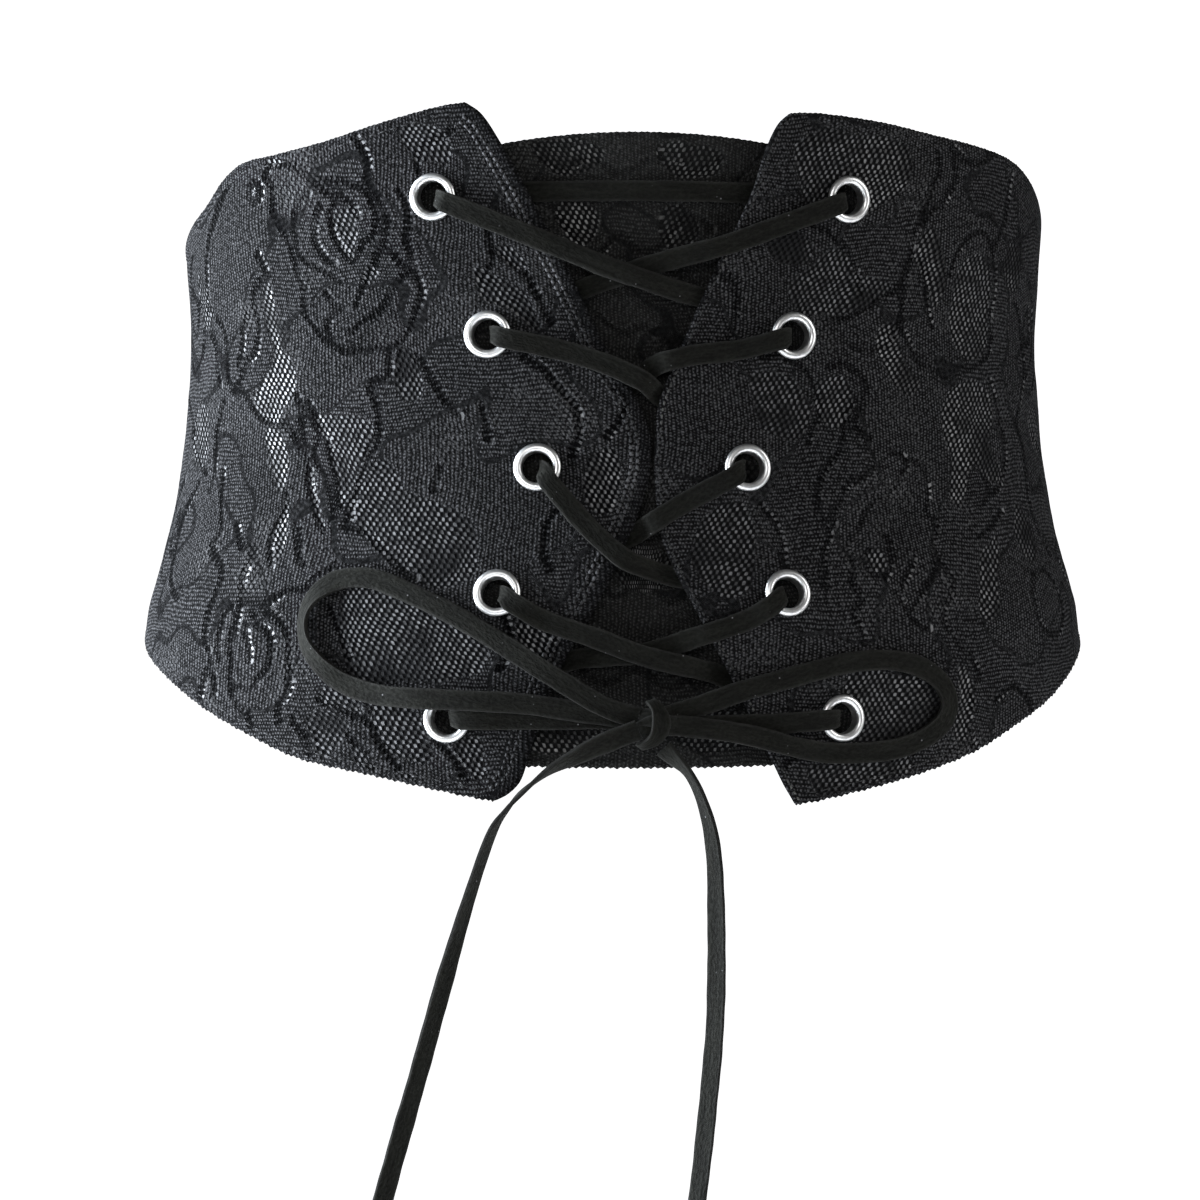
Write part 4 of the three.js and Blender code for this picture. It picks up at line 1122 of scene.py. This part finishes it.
def make_panel(side):
    at, edges = panel_border(side)
    name = "panel_left" if side < 0 else "panel_right"
    columns, rows = crowded(PANEL_REACH - 20, 0.88), crowded(FRONT_HEIGHT, 0.9)
    piece, along, rise = cloth_grid("laced_" + name, columns, rows)
    across, up = at(along, rise)
    places = np.stack([across, up + ragged_edge(across, along, rise)], -1)

    # eyelet holes: what lies in a hole is taken out, and its rim is drawn onto a circle
    hole = EYELET_BORE / 2 + EYELET_WALL + CLEARANCE
    kept = np.ones(len(places), bool)
    centres = [np.array(eyelet_place(side, row)) for row in EYELET_ROWS]
    for centre in centres:
        kept &= np.linalg.norm(places - centre, axis=1) > hole - HOLE_SPARE
    work = bmesh.new()
    work.from_mesh(piece.data)
    work.verts.ensure_lookup_table()
    tag = work.verts.layers.int.new("number")
    for vertex in work.verts:
        vertex[tag] = vertex.index
    gone = [v for v in work.verts if not kept[v.index]]
    bmesh.ops.delete(work, geom=gone, context="VERTS")
    loose = [v for v in work.verts if not v.link_faces]
    bmesh.ops.delete(work, geom=loose, context="VERTS")
    if side < 0:
        bmesh.ops.reverse_faces(work, faces=work.faces[:])
    numbers = np.array([v[tag] for v in work.verts])
    rim = np.array([v.is_boundary for v in work.verts])
    work.to_mesh(piece.data)
    work.free()
    places = places[numbers]
    for centre in centres:
        reach = np.linalg.norm(places - centre, axis=1)
        near = rim & (reach < hole + RIM_REACH)
        places[near] = centre + (places[near] - centre) * (hole / reach[near])[:, None]

    outline = [edges["inner"], edges["top"], edges["seam"][::-1], edges["bottom"][::-1]]
    edge_reach = np.full(len(places), FAR)
    for line in outline:
        edge_reach = np.minimum(edge_reach, reach_to(places, line)[0])
    lines, nets = (LEFT_LINES, LEFT_NETS) if side < 0 else (RIGHT_LINES, RIGHT_NETS)
    fields = lace_fields(uneven(places), lines, nets)
    calm = smooth(edge_reach, *CALM_EDGE)
    relief = lace_relief(places, fields) * calm - EDGE_SINK * (1 - calm)
    inner_reach = reach_to(places, edges["inner"])[0]
    for row in STITCH_ROWS[side]:
        relief -= STITCH_GROOVE * hump(inner_reach - row, STITCH_GROOVE_WIDTH)
    for centre in centres:
        reach = np.linalg.norm(places - centre, axis=1)
        pressed = smooth(reach, EYELET_FLANGE / 2 + PRESS_OUT, EYELET_FLANGE / 2 - PRESS_IN)
        relief = relief * (1 - pressed) - PRESS_DEPTH * pressed
    out = relief - edge_drop(edge_reach)
    fields["edge_reach"] = edge_reach
    fields["front_reach"] = inner_reach if side < 0 else np.full(len(places), FAR)
    lay_lace(piece, places, 0, out, fields)
    share = (PANEL_THICKNESS - EDGE_SPARE + out) / PANEL_THICKNESS
    thicken(piece, PANEL_THICKNESS, share, (LACE, LINING))
    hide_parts(name)
    return finish_piece(piece, 60)


make_panel(-1)
make_panel(1)


def make_cover():
    """The cover panel behind the lacing, of the same lace, with a turned top edge."""
    columns, rows = crowded(COVER_WIDTH, 0.85), crowded(COVER_HEIGHT, 1.1)
    piece, i, j = cloth_grid("lace_cover_panel", columns, rows)
    share = 2 * i - 1
    half = COVER_WIDTH / 2
    top = COVER_HEIGHT * (0.5 + COVER_MIDDLE - COVER_TOP_DROP * share**2)
    bottom = COVER_HEIGHT * (COVER_MIDDLE - 0.5 + COVER_BOTTOM_RISE * share**2)
    up = bottom + (top - bottom) * j
    depth = COVER_DEPTH + (UNDER_PANEL - COVER_DEPTH) * follow(COVER_FORM)(np.abs(share))
    places = np.stack([share * half, up], -1)
    places[:, 1] += ragged_edge(places[:, 0], i, j)
    fields = lace_fields(uneven(places), COVER_LINES, COVER_NETS)
    edge_reach = np.minimum.reduce([half * (1 - np.abs(share)), top - up, up - bottom,
                                    np.full(len(up), FAR)])
    calm = smooth(edge_reach, *CALM_EDGE)
    relief = 0.8 * lace_relief(places, fields) * calm - 0.1 * (1 - calm)
    out = np.minimum(relief, 0) - 0.6 * edge_drop(edge_reach)
    fields.update(edge_reach=edge_reach, front_reach=np.full(len(places), FAR))
    lay_lace(piece, places, depth, out, fields)
    share = (COVER_THICKNESS - EDGE_SPARE + out) / COVER_THICKNESS
    thicken(piece, COVER_THICKNESS, share, (SHADED_COVER_LACE, LINING))
    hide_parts("modesty_panel")
    return finish_piece(piece, 60)


make_cover()


def make_band():
    """The elastic band, from one side seam round the back to the other."""
    start = PANEL_REACH - SEAM_LAP
    length = 2 * (BACK_ARC - start)
    columns, rows = crowded(length, 1.7), crowded(BAND_HEIGHT, 0.56, (0.0, 0.2, 0.5))
    piece, i, j = cloth_grid("elastic_band", columns, rows)
    distance = start + length * i
    across = np.where(distance > BACK_ARC, distance - 2 * BACK_ARC, distance)
    seam_middle = (TOP_EDGE[-1][1] + BOTTOM_EDGE[-1][1]) / 2 * FRONT_HEIGHT
    up = seam_middle + BAND_HEIGHT * (j - 0.5)
    flat = np.stack([distance, BAND_HEIGHT * j], -1)
    border = np.minimum(BAND_HEIGHT * j, BAND_HEIGHT * (1 - j))
    cords = 0.13 * (np.cos(FULL_TURN * flat[:, 1] / ELASTIC_ROW) - 1)
    selvedge = 0.12 * smooth(border, 3.4, 2.6) - 0.35 * smooth(border, 0.5, 0.0)
    across_ends = np.minimum(length * i, length * (1 - i))
    ripple = 0.1 * np.sin(distance / 6.5 + np.sin(up / 17.0)) * smooth(across_ends, 8, 30) - 0.1
    put_on_wall(piece, across, up, UNDER_PANEL + np.minimum(cords + selvedge + ripple, 0))
    set_flat_map(piece.data, flat)
    thicken(piece, WEBBING_THICKNESS, np.ones(len(flat)), (ELASTIC,))
    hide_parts("back_elastic")
    return finish_piece(piece, 60)


make_band()


# Eyelets


def make_eyelets():
    """One eyelet is spun from its profile, then copied to each place with its own mesh."""
    bore, flange, washer = EYELET_BORE / 2, EYELET_FLANGE / 2, WASHER_WIDTH / 2
    barrel = bore + EYELET_WALL
    back = WASHER_FACE - WASHER_THICKNESS
    crown = CLEARANCE + EYELET_CROWN
    profile = [
        (bore, back + 0.15), (bore + 0.15, back), (washer - 0.15, back), (washer, back + 0.2),
        (washer - 0.1, WASHER_FACE), (barrel, WASHER_FACE), (barrel, CLEARANCE),
        (flange - 0.25, CLEARANCE), (flange, CLEARANCE + 0.12), (flange - 0.08, CLEARANCE + 0.4),
        (flange - 0.45, crown - 0.2), (flange - 1.0, crown), (flange - 1.5, crown - 0.04),
        (bore + 0.35, crown - 0.32), (bore + 0.05, crown - 0.75), (bore, CLEARANCE - 0.3),
        (bore, back + 0.15),
    ]
    points = [(radius * MM, 0, height * MM) for radius, height in profile]
    spans = [(k, k + 1) for k in range(len(points) - 1)]
    pattern = new_piece("eyelet_pattern", points, spans, [])
    turn_outwards(pattern, spin=True)
    co = np.array([v.co for v in pattern.data.vertices]) / MM
    turn = np.arctan2(co[:, 1], co[:, 0]) * flange
    flat = np.stack([turn, np.linalg.norm(co[:, :2], axis=1) + co[:, 2]], -1)
    set_flat_map(pattern.data, flat)
    pattern.data.materials.append(NICKEL)
    for side in (-1, 1):
        for row in EYELET_ROWS:
            across, up = eyelet_place(side, row)
            along, upward, outward = (Vector(v) for v in wall_frame(across, up))
            place = Matrix((along, upward, outward)).transposed().to_4x4()
            place.translation = Vector(wall(across, up, 0)) * MM
            copy = pattern.data.copy()
            copy.transform(place)
            node = f"eyelet_{'left' if side < 0 else 'right'}_{row}"
            piece = bpy.data.objects.new("nickel_" + node, copy)
            scene.collection.objects.link(piece)
            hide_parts(node)
            finish_piece(piece, 50)
    bpy.data.objects.remove(pattern)


make_eyelets()


# Cords. A stop is across, up, out and, where it isn't 0, the roll from lying flat in degrees.
KNOT_ACROSS = 1.9
KNOT_UP = -70.7
KNOT_LEFT = KNOT_ACROSS - KNOT_WIDTH / 2 - CLEARANCE
KNOT_RIGHT = KNOT_ACROSS + KNOT_WIDTH / 2 + CLEARANCE
TURN_INSET = 1.1
TURN_PINCH = 0.22
TURN_STEPS = 12
# The lacing from the knot and back to it: runs of stops, and between them the eyelets that it
# turns through, as side and row
LACING = [
    [(KNOT_LEFT, -70, ON_PANEL + 0.3), (-12, -69.8, ON_PANEL), (-30, -70, ON_PANEL)],
    (-1, 5),
    [(-33.6, -62.3, BACK_CORD), (-20, -55, BACK_CORD), (-10, -53.4, -2.5), (-1, -52.6, -1.6),
     (6.2, -50.6, -1.6), (12, -48.4, -0.1), (15.4, -47.3, ON_PANEL), (25, -43.8, ON_PANEL)],
    (1, 4),
    [(22.5, -34.5, BACK_CORD), (10, -32.8, -3.4), (4.6, -31.6, -2.6), (-0.5, -29.8, -0.6),
     (-4.9, -27.9, ON_PANEL), (-10, -23.6, ON_PANEL), (-16.2, -17.4, ON_PANEL)],
    (-1, 3),
    [(-14.1, 9.3, BACK_CORD), (-8, 14, BACK_CORD), (-2.6, 18.7, -3.6), (1.3, 22, -3.1),
     (3.6, 23.7, -1.9), (5.6, 24.6, 0.3), (7.6, 25.1, ON_PANEL + 0.2), (14, 26.5, ON_PANEL),
     (26, 27.9, ON_PANEL)],
    (1, 2),
    [(28.2, 38.6, BACK_CORD), (20.5, 41.2, -3.4), (12, 43, -1.8), (5, 44.9, 0.1),
     (-1, 46.8, ON_PANEL), (-10, 49.8, ON_PANEL), (-21, 54.3, ON_PANEL)],
    (-1, 1),
    [(-30, 69.9, BACK_CORD), (0, 70.2, BACK_CORD), (30, 69.9, BACK_CORD)],
    (1, 1),
    [(26.3, 57.1, ON_PANEL), (19.5, 55, ON_PANEL), (12, 53, -0.1), (2.1, 50.3, -1.4),
     (-8, 47, -2.6), (-17.5, 43.6, BACK_CORD), (-28.2, 38.6, BACK_CORD)],
    (-1, 2),
    [(-22.1, 27.7, ON_PANEL), (-10, 24, ON_PANEL), (-3, 21, ON_PANEL), (0, 19.5, ON_PANEL),
     (2, 18, -0.2), (4.4, 16, -3), (10, 12.8, BACK_CORD), (16.4, 8, BACK_CORD)],
    (1, 3),
    [(12, -12, ON_PANEL), (6.2, -15.4, ON_PANEL), (2.4, -17.9, ON_PANEL), (0.7, -19.1, -1),
     (-1.1, -20.4, -3), (-4, -22, -3.6), (-9, -24.6, BACK_CORD), (-21.5, -30.6, BACK_CORD)],
    (-1, 4),
    [(-24.8, -43.9, ON_PANEL), (-12, -48.7, ON_PANEL), (-3, -52.4, ON_PANEL), (4, -54.6, ON_PANEL),
     (9, -55.8, 0.4), (13.5, -56.9, -1.5), (18.5, -58.4, -3.4), (29.4, -64, BACK_CORD)],
    (1, 5),
    [(30, -71.3, ON_PANEL), (15, -71.6, ON_PANEL), (KNOT_RIGHT, -71, ON_PANEL + 0.3)],
]
LOOP_LEFT = [
    (KNOT_LEFT, -69.4, 4.2), (-10.5, -66.4, 4.4), (-23.2, -58, 4.2), (-36.3, -49, 2.6),
    (-49.4, -41.1, 1.5), (-63.6, -34.7, ON_PANEL), (-71, -32.6, ON_PANEL), (-79, -33.4, ON_PANEL),
    (-84.2, -37.6, 1.9, 22), (-86, -43.8, 2.5, 38), (-84.8, -50, 2.4, 34), (-81, -55.6, 1.8, 18),
    (-74.7, -60.6, ON_PANEL), (-65.5, -63.5, 2), (-55.4, -64.4, 3.9), (-42.4, -65, 4.1),
    (-29.6, -65.8, 3.2), (-16.9, -67.8, 2.8), (KNOT_LEFT, -70, 2.8),
]
LOOP_RIGHT = [
    (KNOT_RIGHT, -68.6, 2.9), (15, -65.5, 2.7), (23.8, -62.3, 2.2), (32.7, -59.8, 1.6),
    (41.8, -57.3, 1.2), (51.4, -55.1, ON_PANEL), (61.2, -54.5, ON_PANEL), (70, -56.1, ON_PANEL),
    (76.4, -60.1, 1.2), (79.1, -65.3, 1.4), (77.9, -70.5, 1.2), (72.7, -74.9, ON_PANEL),
    (64.3, -78, ON_PANEL), (54.4, -79.1, ON_PANEL), (44.9, -79, 1.3), (35.6, -77.3, 3),
    (26.7, -74.7, 3.2), (17.7, -72.9, 4.2), (KNOT_RIGHT, -71.4, 4.4),
]
TAIL_LEFT = [
    (KNOT_LEFT, -72.6, 5.9), (-10.5, -76.2, 5.7, -15), (-16.9, -79.7, 4.8, -45),
    (-23.2, -83.4, 4.4, -75), (-29.4, -88.9, 4.2, -98), (-33.4, -93.9, 4.2, -90),
    (-37.1, -100.7, 4.4, -78), (-42.7, -119.1, 5, -70), (-48.1, -140.2, 6.2, -50),
    (-53.3, -162.1, 7.4, -47), (-58, -181.3, 8.4, -41), (-61.4, -195.5, 9, -40),
    (-65.2, -212, 9.6, -40),
]
TAIL_RIGHT = [
    (3.7, -77.6, 3.9, 32), (6.9, -81, 3.8, 62), (9.7, -84.2, 3.7, 78), (12.4, -89.8, 3.6, 77),
    (14.8, -98.2, 3.4, 67), (16, -107, 3.2, 60), (16.4, -115.7, 3, 54), (16.6, -133.3, 3, 46),
    (16.2, -150.9, 3, 47), (14.8, -168.4, 3, 45), (13.1, -185.9, 3, 46), (12, -195.5, 3, 47),
    (10, -212, 3, 47),
]
CORD_GAP = 1.3


def flat_stop(across, up, out, roll=0.0):
    return {"across": across, "up": up, "out": out, "roll": roll, "width": 1.0}


def ease_cord(stops):
    """Stops about a CORD_GAP apart on a smooth curve through the given ones."""
    rows = [[stop[key] for key in ("across", "up", "out", "roll")] for stop in stops]
    eased = through(rows, CORD_GAP, fewest=1)
    return [flat_stop(*row) for row in eased[:-1]] + [dict(stops[-1])]


def turn_through(side, row, leave, arrive):
    """The cord's turn through an eyelet, from behind the panel to the front."""
    across, up = eyelet_place(side, row)
    along, upward, outward = wall_frame(across, up)
    radius, middle = (ON_EYELET - BACK_CORD) / 2, (ON_EYELET + BACK_CORD) / 2
    made = []
    for step in range(-TURN_STEPS // 2, TURN_STEPS // 2 + 1):
        angle = step * math.pi / TURN_STEPS
        heading = unit(leave + (arrive - leave) * (step + TURN_STEPS // 2) / TURN_STEPS)
        reach = TURN_INSET + radius * (1 - math.cos(angle))
        out = middle + radius * math.sin(angle)
        place = wall(across, up, 0) + along * heading[0] * reach + upward * heading[1] * reach
        stop = flat_stop(across + heading[0] * reach, up + heading[1] * reach, out)
        stop.update(place=place + outward * out, frame=(along, upward, outward), heading=heading,
                    width=1 - TURN_PINCH * math.cos(angle))
        made.append(stop)
    return made


def lacing_stops():
    made, run = [], []
    for number, entry in enumerate(LACING):
        if isinstance(entry, list):
            run += [flat_stop(*stop) for stop in entry]
            continue
        place = np.array(eyelet_place(*entry))
        last, following = LACING[number - 1][-1], LACING[number + 1][0]
        before, after = unit(np.array(last[:2]) - place), unit(np.array(following[:2]) - place)
        back_first = last[2] < 0
        turn = turn_through(*entry, before, after) if back_first else (
            turn_through(*entry, after, before)[::-1])
        clear = EYELET_FLANGE / 2 + TURN_INSET
        if not back_first:
            run.append(flat_stop(*(place + before * clear), ON_EYELET))
        run.append(turn[0])
        made += ease_cord(run)[:-1] + turn[:-1]
        run = [turn[-1]]
        if back_first:
            run.append(flat_stop(*(place + after * clear), ON_EYELET))
    return made + ease_cord(run)


def headings(places):
    """The direction along a row of places, at each of them."""
    return unit(np.vstack([places[1:], places[-1:]]) - np.vstack([places[:1], places[:-1]]))


def cord_frames(stops):
    """Each stop's place, and the directions across the cord and out of its face there."""
    places = np.array([stop.get("place", wall(stop["across"], stop["up"], stop["out"]))
                       for stop in stops])
    tangents = headings(places)
    sides, last = [], None
    for stop, tangent in zip(stops, tangents):
        along, upward, outward = stop.get("frame") or wall_frame(stop["across"], stop["up"])
        heading = stop.get("heading")
        heading = tangent if heading is None else along * heading[0] + upward * heading[1]
        side = np.cross(outward, heading)
        side = unit(side - tangent * side.dot(tangent))
        if last is not None and side.dot(last) < 0:
            side = -side
        last = side
        roll = math.radians(stop["roll"])
        sides.append(side * math.cos(roll) + np.cross(tangent, side) * math.sin(roll))
    sides = np.array(sides)
    return places, sides, np.cross(tangents, sides)


# A cord's section, as shares of its half width and half thickness, with crisp cut edges
SECTION = [
    (-1.0, -0.55), (-0.95, -0.9), (-0.7, -1.0), (-0.3, -0.93), (0.3, -0.93), (0.7, -1.0),
    (0.95, -0.9), (1.0, -0.55), (1.0, 0.55), (0.95, 0.9), (0.7, 1.0), (0.3, 0.93), (-0.3, 0.93),
    (-0.7, 1.0), (-0.95, 0.9), (-1.0, 0.55),
]
# The share of the half width past which a cord's side is its cut edge
CUT_EDGE = 0.9
# How far apart on the flat map the two faces of a cord lie, and one cord from the next
FACE_APART = 20
SEED_APART = 40


def cord_mesh(name, places, sides, faces, widths, seed):
    """A flat cord swept along its places, in suede, with its two cut edges marked."""
    count, ring = len(places), len(SECTION)
    run = np.r_[0, np.cumsum(np.linalg.norm(np.diff(places, axis=0), axis=1))]
    wobble = 0.02 * np.sin(run / 3.1 + seed) + 0.015 * np.sin(run / 1.27 + 2 * seed)
    curl = 0.12 * np.sin(run / 23.0 + seed)
    section = np.array(SECTION)
    half = CORD_WIDTH / 2 * widths * (1 + wobble)
    cup = (section[:, 0] ** 2 - 0.4)[None, :] * curl[:, None]
    points = (places[:, None, :]
              + sides[:, None, :] * (half[:, None] * section[None, :, 0])[..., None]
              + faces[:, None, :] * (CORD_THICKNESS / 2 * section[None, :, 1] + cup)[..., None])
    points = points.reshape(-1, 3)
    quads = []
    for i in range(count - 1):
        for k in range(ring):
            n = (k + 1) % ring
            quads.append((i * ring + k, (i + 1) * ring + k, (i + 1) * ring + n, i * ring + n))
    quads.append(tuple(range(ring)))
    quads.append(tuple(reversed(range((count - 1) * ring, count * ring))))
    piece = new_piece(name, (points * MM).tolist(), [], quads)
    piece.data.validate()
    turn_outwards(piece)
    across = section[:, 0] * (CORD_WIDTH / 2) + np.sign(section[:, 1]) * FACE_APART
    flat = np.stack([np.repeat(run, ring) + SEED_APART * seed, np.tile(across, count)], -1)
    set_flat_map(piece.data, flat)
    edge = np.tile((np.abs(section[:, 0]) > CUT_EDGE).astype(float), count)
    set_values(piece.data, "cut_edge", edge)
    piece.data.materials.append(SUEDE)
    return piece


def make_cord(name, eased, node, seed):
    places, sides, faces = cord_frames(eased)
    widths = np.array([stop["width"] for stop in eased])
    piece = cord_mesh(name, places, sides, faces, widths, seed)
    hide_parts(node)
    finish_piece(piece, 50)
    return piece, places


make_cord("suede_lacing", lacing_stops(), "lacing", 1)
for name, stops, node, length, far_end, seed in (
    ("suede_loop_left", LOOP_LEFT, "bow_loop_left", 0.21, "object", 2),
    ("suede_loop_right", LOOP_RIGHT, "bow_loop_right", 0.175, "object", 3),
    ("suede_tail_left", TAIL_LEFT, "tail_left", 0.165, "bare", 4),
    ("suede_tail_right", TAIL_RIGHT, "tail_right", 0.139, "bare", 5),
):
    eased = ease_cord([flat_stop(*stop) for stop in stops])
    cord, path = make_cord(name, eased, node, seed)


# The knot: the crossed cords under it, and the turn of cord that binds them
KNOT_WRAP = [
    (2.0, -66.6, 2.6, 0.6), (0.6, -65.3, 4.4, 0.42), (1.1, -65.6, 6.0, 0.55),
    (2.2, -67.4, 6.7, 0.8), (2.9, -70.2, 7.0, 0.92), (2.5, -73.0, 6.9, 0.88),
    (1.1, -75.3, 6.4, 0.7), (-1.0, -76.7, 5.4, 0.45), (-1.9, -76.8, 3.8, 0.4),
    (0.0, -76.0, 2.6, 0.5),
]
KNOT_UNDER = [
    (-1.9, -72.8, 4.4, 0.8), (0.2, -71.6, 5.5, 0.9), (2.4, -71.0, 5.9, 0.95),
    (4.4, -71.3, 5.4, 0.95), (6.4, -71.6, 4.5, 1.0),
]
KNOT_TUCK = [
    (-1.8, -69.4, 4.3, 0.8), (0.2, -69.4, 5.2, 0.9), (2.2, -69.6, 5.5, 0.9),
    (4.2, -69.0, 4.6, 0.95), (6.4, -68.5, 3.0, 1.0),
]

# The half width, half height and half depth of the knot's core
KNOT_CORE = (3.6, 4.7, 2.7)
KNOT_GAP = 0.5


def make_knot():
    parts = []
    for number, stops in enumerate((KNOT_WRAP, KNOT_UNDER, KNOT_TUCK)):
        eased = through([stop[:3] for stop in stops], KNOT_GAP)
        places = wall(eased[:, 0], eased[:, 1], eased[:, 2])
        widths = np.interp(np.linspace(0, 1, len(places)), np.linspace(0, 1, len(stops)),
                           [stop[3] for stop in stops])
        tangents = headings(places)
        faces = unit(places - wall(KNOT_ACROSS, KNOT_UP, 1.5))
        sides = unit(np.cross(faces, tangents))
        faces = unit(np.cross(tangents, sides))
        parts.append(cord_mesh(f"knot_part_{number}", places, sides, faces, widths, 6 + number))
    bpy.ops.mesh.primitive_uv_sphere_add(segments=24, ring_count=16, radius=1)
    core = bpy.context.object
    along, upward, outward = wall_frame(KNOT_ACROSS, KNOT_UP)
    co = np.array([v.co for v in core.data.vertices])
    pinch = 1 - 0.18 * np.cos(3 * np.arctan2(co[:, 1], co[:, 0])) * (1 - co[:, 2] ** 2)
    co = co * np.array(KNOT_CORE) * pinch[:, None]
    middle = wall(KNOT_ACROSS, KNOT_UP, 3.0)
    placed = middle + co[:, :1] * along + co[:, 1:2] * upward + co[:, 2:] * outward
    core.data.vertices.foreach_set("co", (placed * MM).astype(np.float32).ravel())
    bare_map(core.data)
    set_flat_map(core.data, co[:, :2] + 300)
    set_values(core.data, "cut_edge", np.zeros(len(co)))
    core.data.materials.append(SUEDE)
    bpy.ops.object.select_all(action="DESELECT")
    for part in parts:
        part.select_set(True)
    core.select_set(True)
    bpy.context.view_layer.objects.active = core
    bpy.ops.object.join()
    core.name = core.data.name = "suede_bow_knot"
    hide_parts("bow_knot")
    finish_piece(core, 50)


make_knot()


# Stitching


def offset_line(line, reach, toward):
    """A line drawn inside an edge, at a reach from it."""
    step = unit(np.gradient(line, axis=0))
    normal = np.stack([-step[:, 1], step[:, 0]], -1)
    if ((toward - line) * normal).sum() < 0:
        normal = -normal
    return line + normal * reach


def stitches_along(line, length, gap, out):
    """Places and directions of single stitches along a line on the wall."""
    run = np.r_[0, np.cumsum(np.linalg.norm(np.diff(line, axis=0), axis=1))]
    starts = np.arange(gap, run[-1] - length - gap, length + gap)
    made = []
    for start in starts:
        ends = [np.array([np.interp(at, run, line[:, 0]), np.interp(at, run, line[:, 1])])
                for at in (start, start + length)]
        made.append((wall(*ends[0], out), wall(*ends[1], out), wall_frame(*ends[0])[2]))
    return made


# One stitch, from end to end: how far along, how far out in millimetres, and how thick
STITCH_FORM = ((0, -0.22, 0.5), (0.16, 0.02, 1), (0.5, 0.1, 1), (0.84, 0.02, 1), (1, -0.22, 0.5))
THREAD_SIDES = 6
# A stitch's length, the gap to the next and how far out its ends lie
CHAIN_STITCH = (1.15, 0.6, -0.32)
TOP_STITCH = (2.3, 0.9, -0.34)
CHAIN_THREAD = {-1: 0.32, 1: 0.24}
TOP_THREAD = 0.15


def thread_piece(name, stitches, thread, radius):
    """Many short stitches as one mesh: each a low arch of thread."""
    ring = THREAD_SIDES
    around = np.linspace(0, FULL_TURN, ring, endpoint=False)
    points, quads = [], []
    for start, end, outward in stitches:
        ahead = unit(end - start)
        side = np.cross(ahead, outward)
        base = len(points)
        for share, lift, size in STITCH_FORM:
            middle = start + (end - start) * share + outward * lift
            for angle in around:
                points.append(middle + size * radius * (side * math.cos(angle) * 1.2
                                                        + outward * math.sin(angle)))
        last = base + ring * (len(STITCH_FORM) - 1)
        for row in range(base, last, ring):
            for k in range(ring):
                n = (k + 1) % ring
                quads.append((row + k, row + n, row + ring + n, row + ring + k))
        quads.append(tuple(base + k for k in reversed(range(ring))))
        quads.append(tuple(last + k for k in range(ring)))
    piece = new_piece(name, (np.array(points) * MM).tolist(), [], quads)
    piece.data.materials.append(thread)
    turn_outwards(piece)
    finish_piece(piece, 80)


def make_stitching():
    for side, word in ((-1, "left"), (1, "right")):
        edges = panel_border(side)[1]
        middle = np.array([side * 95.0, 0.0])
        chain, plain = [], []
        for reach in STITCH_ROWS[side]:
            line = offset_line(edges["inner"], reach, middle)
            chain += stitches_along(line, *CHAIN_STITCH)
        rows = [(edges["top"][4:-2], 2.6), (edges["bottom"][4:-2], 2.6), (edges["seam"], 2.2),
                (edges["seam"], 5.6)]
        for edge, reach in rows:
            line = offset_line(edge, reach, middle)
            plain += stitches_along(line, *TOP_STITCH)
        thread_piece(f"chain_stitching_{word}", chain, CHAIN[side], CHAIN_THREAD[side])
        thread_piece(f"topstitching_{word}", plain, THREAD, TOP_THREAD)


make_stitching()


# Stage and light


def plain_material(name, colour, roughness, glow):
    made, w, shader = material(name)
    mottled = w.noise(w.node("ShaderNodeTexCoord").outputs["Object"], 3.0, 2)
    low = tuple(0.985 * part for part in colour[:3]) + (1,)
    w.fill(shader, {"Base Color": w.tint(mottled, low, colour), "Roughness": roughness,
                    "Emission Color": colour, "Emission Strength": glow})
    return made


BACKDROP_RADIUS = 9
FLOOR_RADIUS = 0.8
FLOOR_HEIGHT = -0.31


def make_stage():
    bpy.ops.mesh.primitive_uv_sphere_add(segments=48, ring_count=24, radius=BACKDROP_RADIUS)
    dome = bpy.context.object
    dome.name = "backdrop"
    dome.data.materials.append(plain_material("white_backdrop", (1, 1, 1, 1), 1.0, 1.05))
    for ray in ("visible_diffuse", "visible_glossy", "visible_transmission", "visible_shadow"):
        setattr(dome, ray, False)
    bpy.ops.mesh.primitive_circle_add(vertices=96, radius=FLOOR_RADIUS, fill_type="NGON",
                                      location=(0, 0, FLOOR_HEIGHT))
    floor = bpy.context.object
    floor.name = "floor"
    floor.data.materials.append(plain_material("pale_floor", (0.9, 0.9, 0.9, 1), 0.9, 0.35))


# Each light's place and size in metres, its energy and its colour
LIGHTS = {
    "window": ((-1.8, 0.2, 0.12), (1.3, 1.8), 205, (0.86, 0.925, 1.0)),
    "soft_front": ((-0.35, -1.9, 0.5), (0.9, 0.7), 8, (1, 1, 1)),
    "soft_right": ((1.7, -0.6, 0.5), (0.8, 1.4), 13, (1, 1, 1)),
    "soft_back": ((0.1, 1.7, 0.8), (1.6, 1.2), 14, (1, 1, 1)),
}


def make_lights():
    for name, (place, size, energy, colour) in LIGHTS.items():
        bpy.ops.object.light_add(type="AREA", location=place)
        light = bpy.context.object
        light.name = name
        light.data.shape = "RECTANGLE"
        light.data.size, light.data.size_y = size
        light.data.energy = energy
        light.data.color = colour
        light.rotation_euler = (-Vector(place)).to_track_quat("-Z", "Y").to_euler()
    world = bpy.data.worlds.new("studio")
    scene.world = world
    world.use_nodes = True
    background = world.node_tree.nodes["Background"]
    background.inputs["Color"].default_value = (1, 1, 1, 1)
    background.inputs["Strength"].default_value = 0.05
    scene.view_settings.view_transform = "Standard"


make_stage()
make_lights()
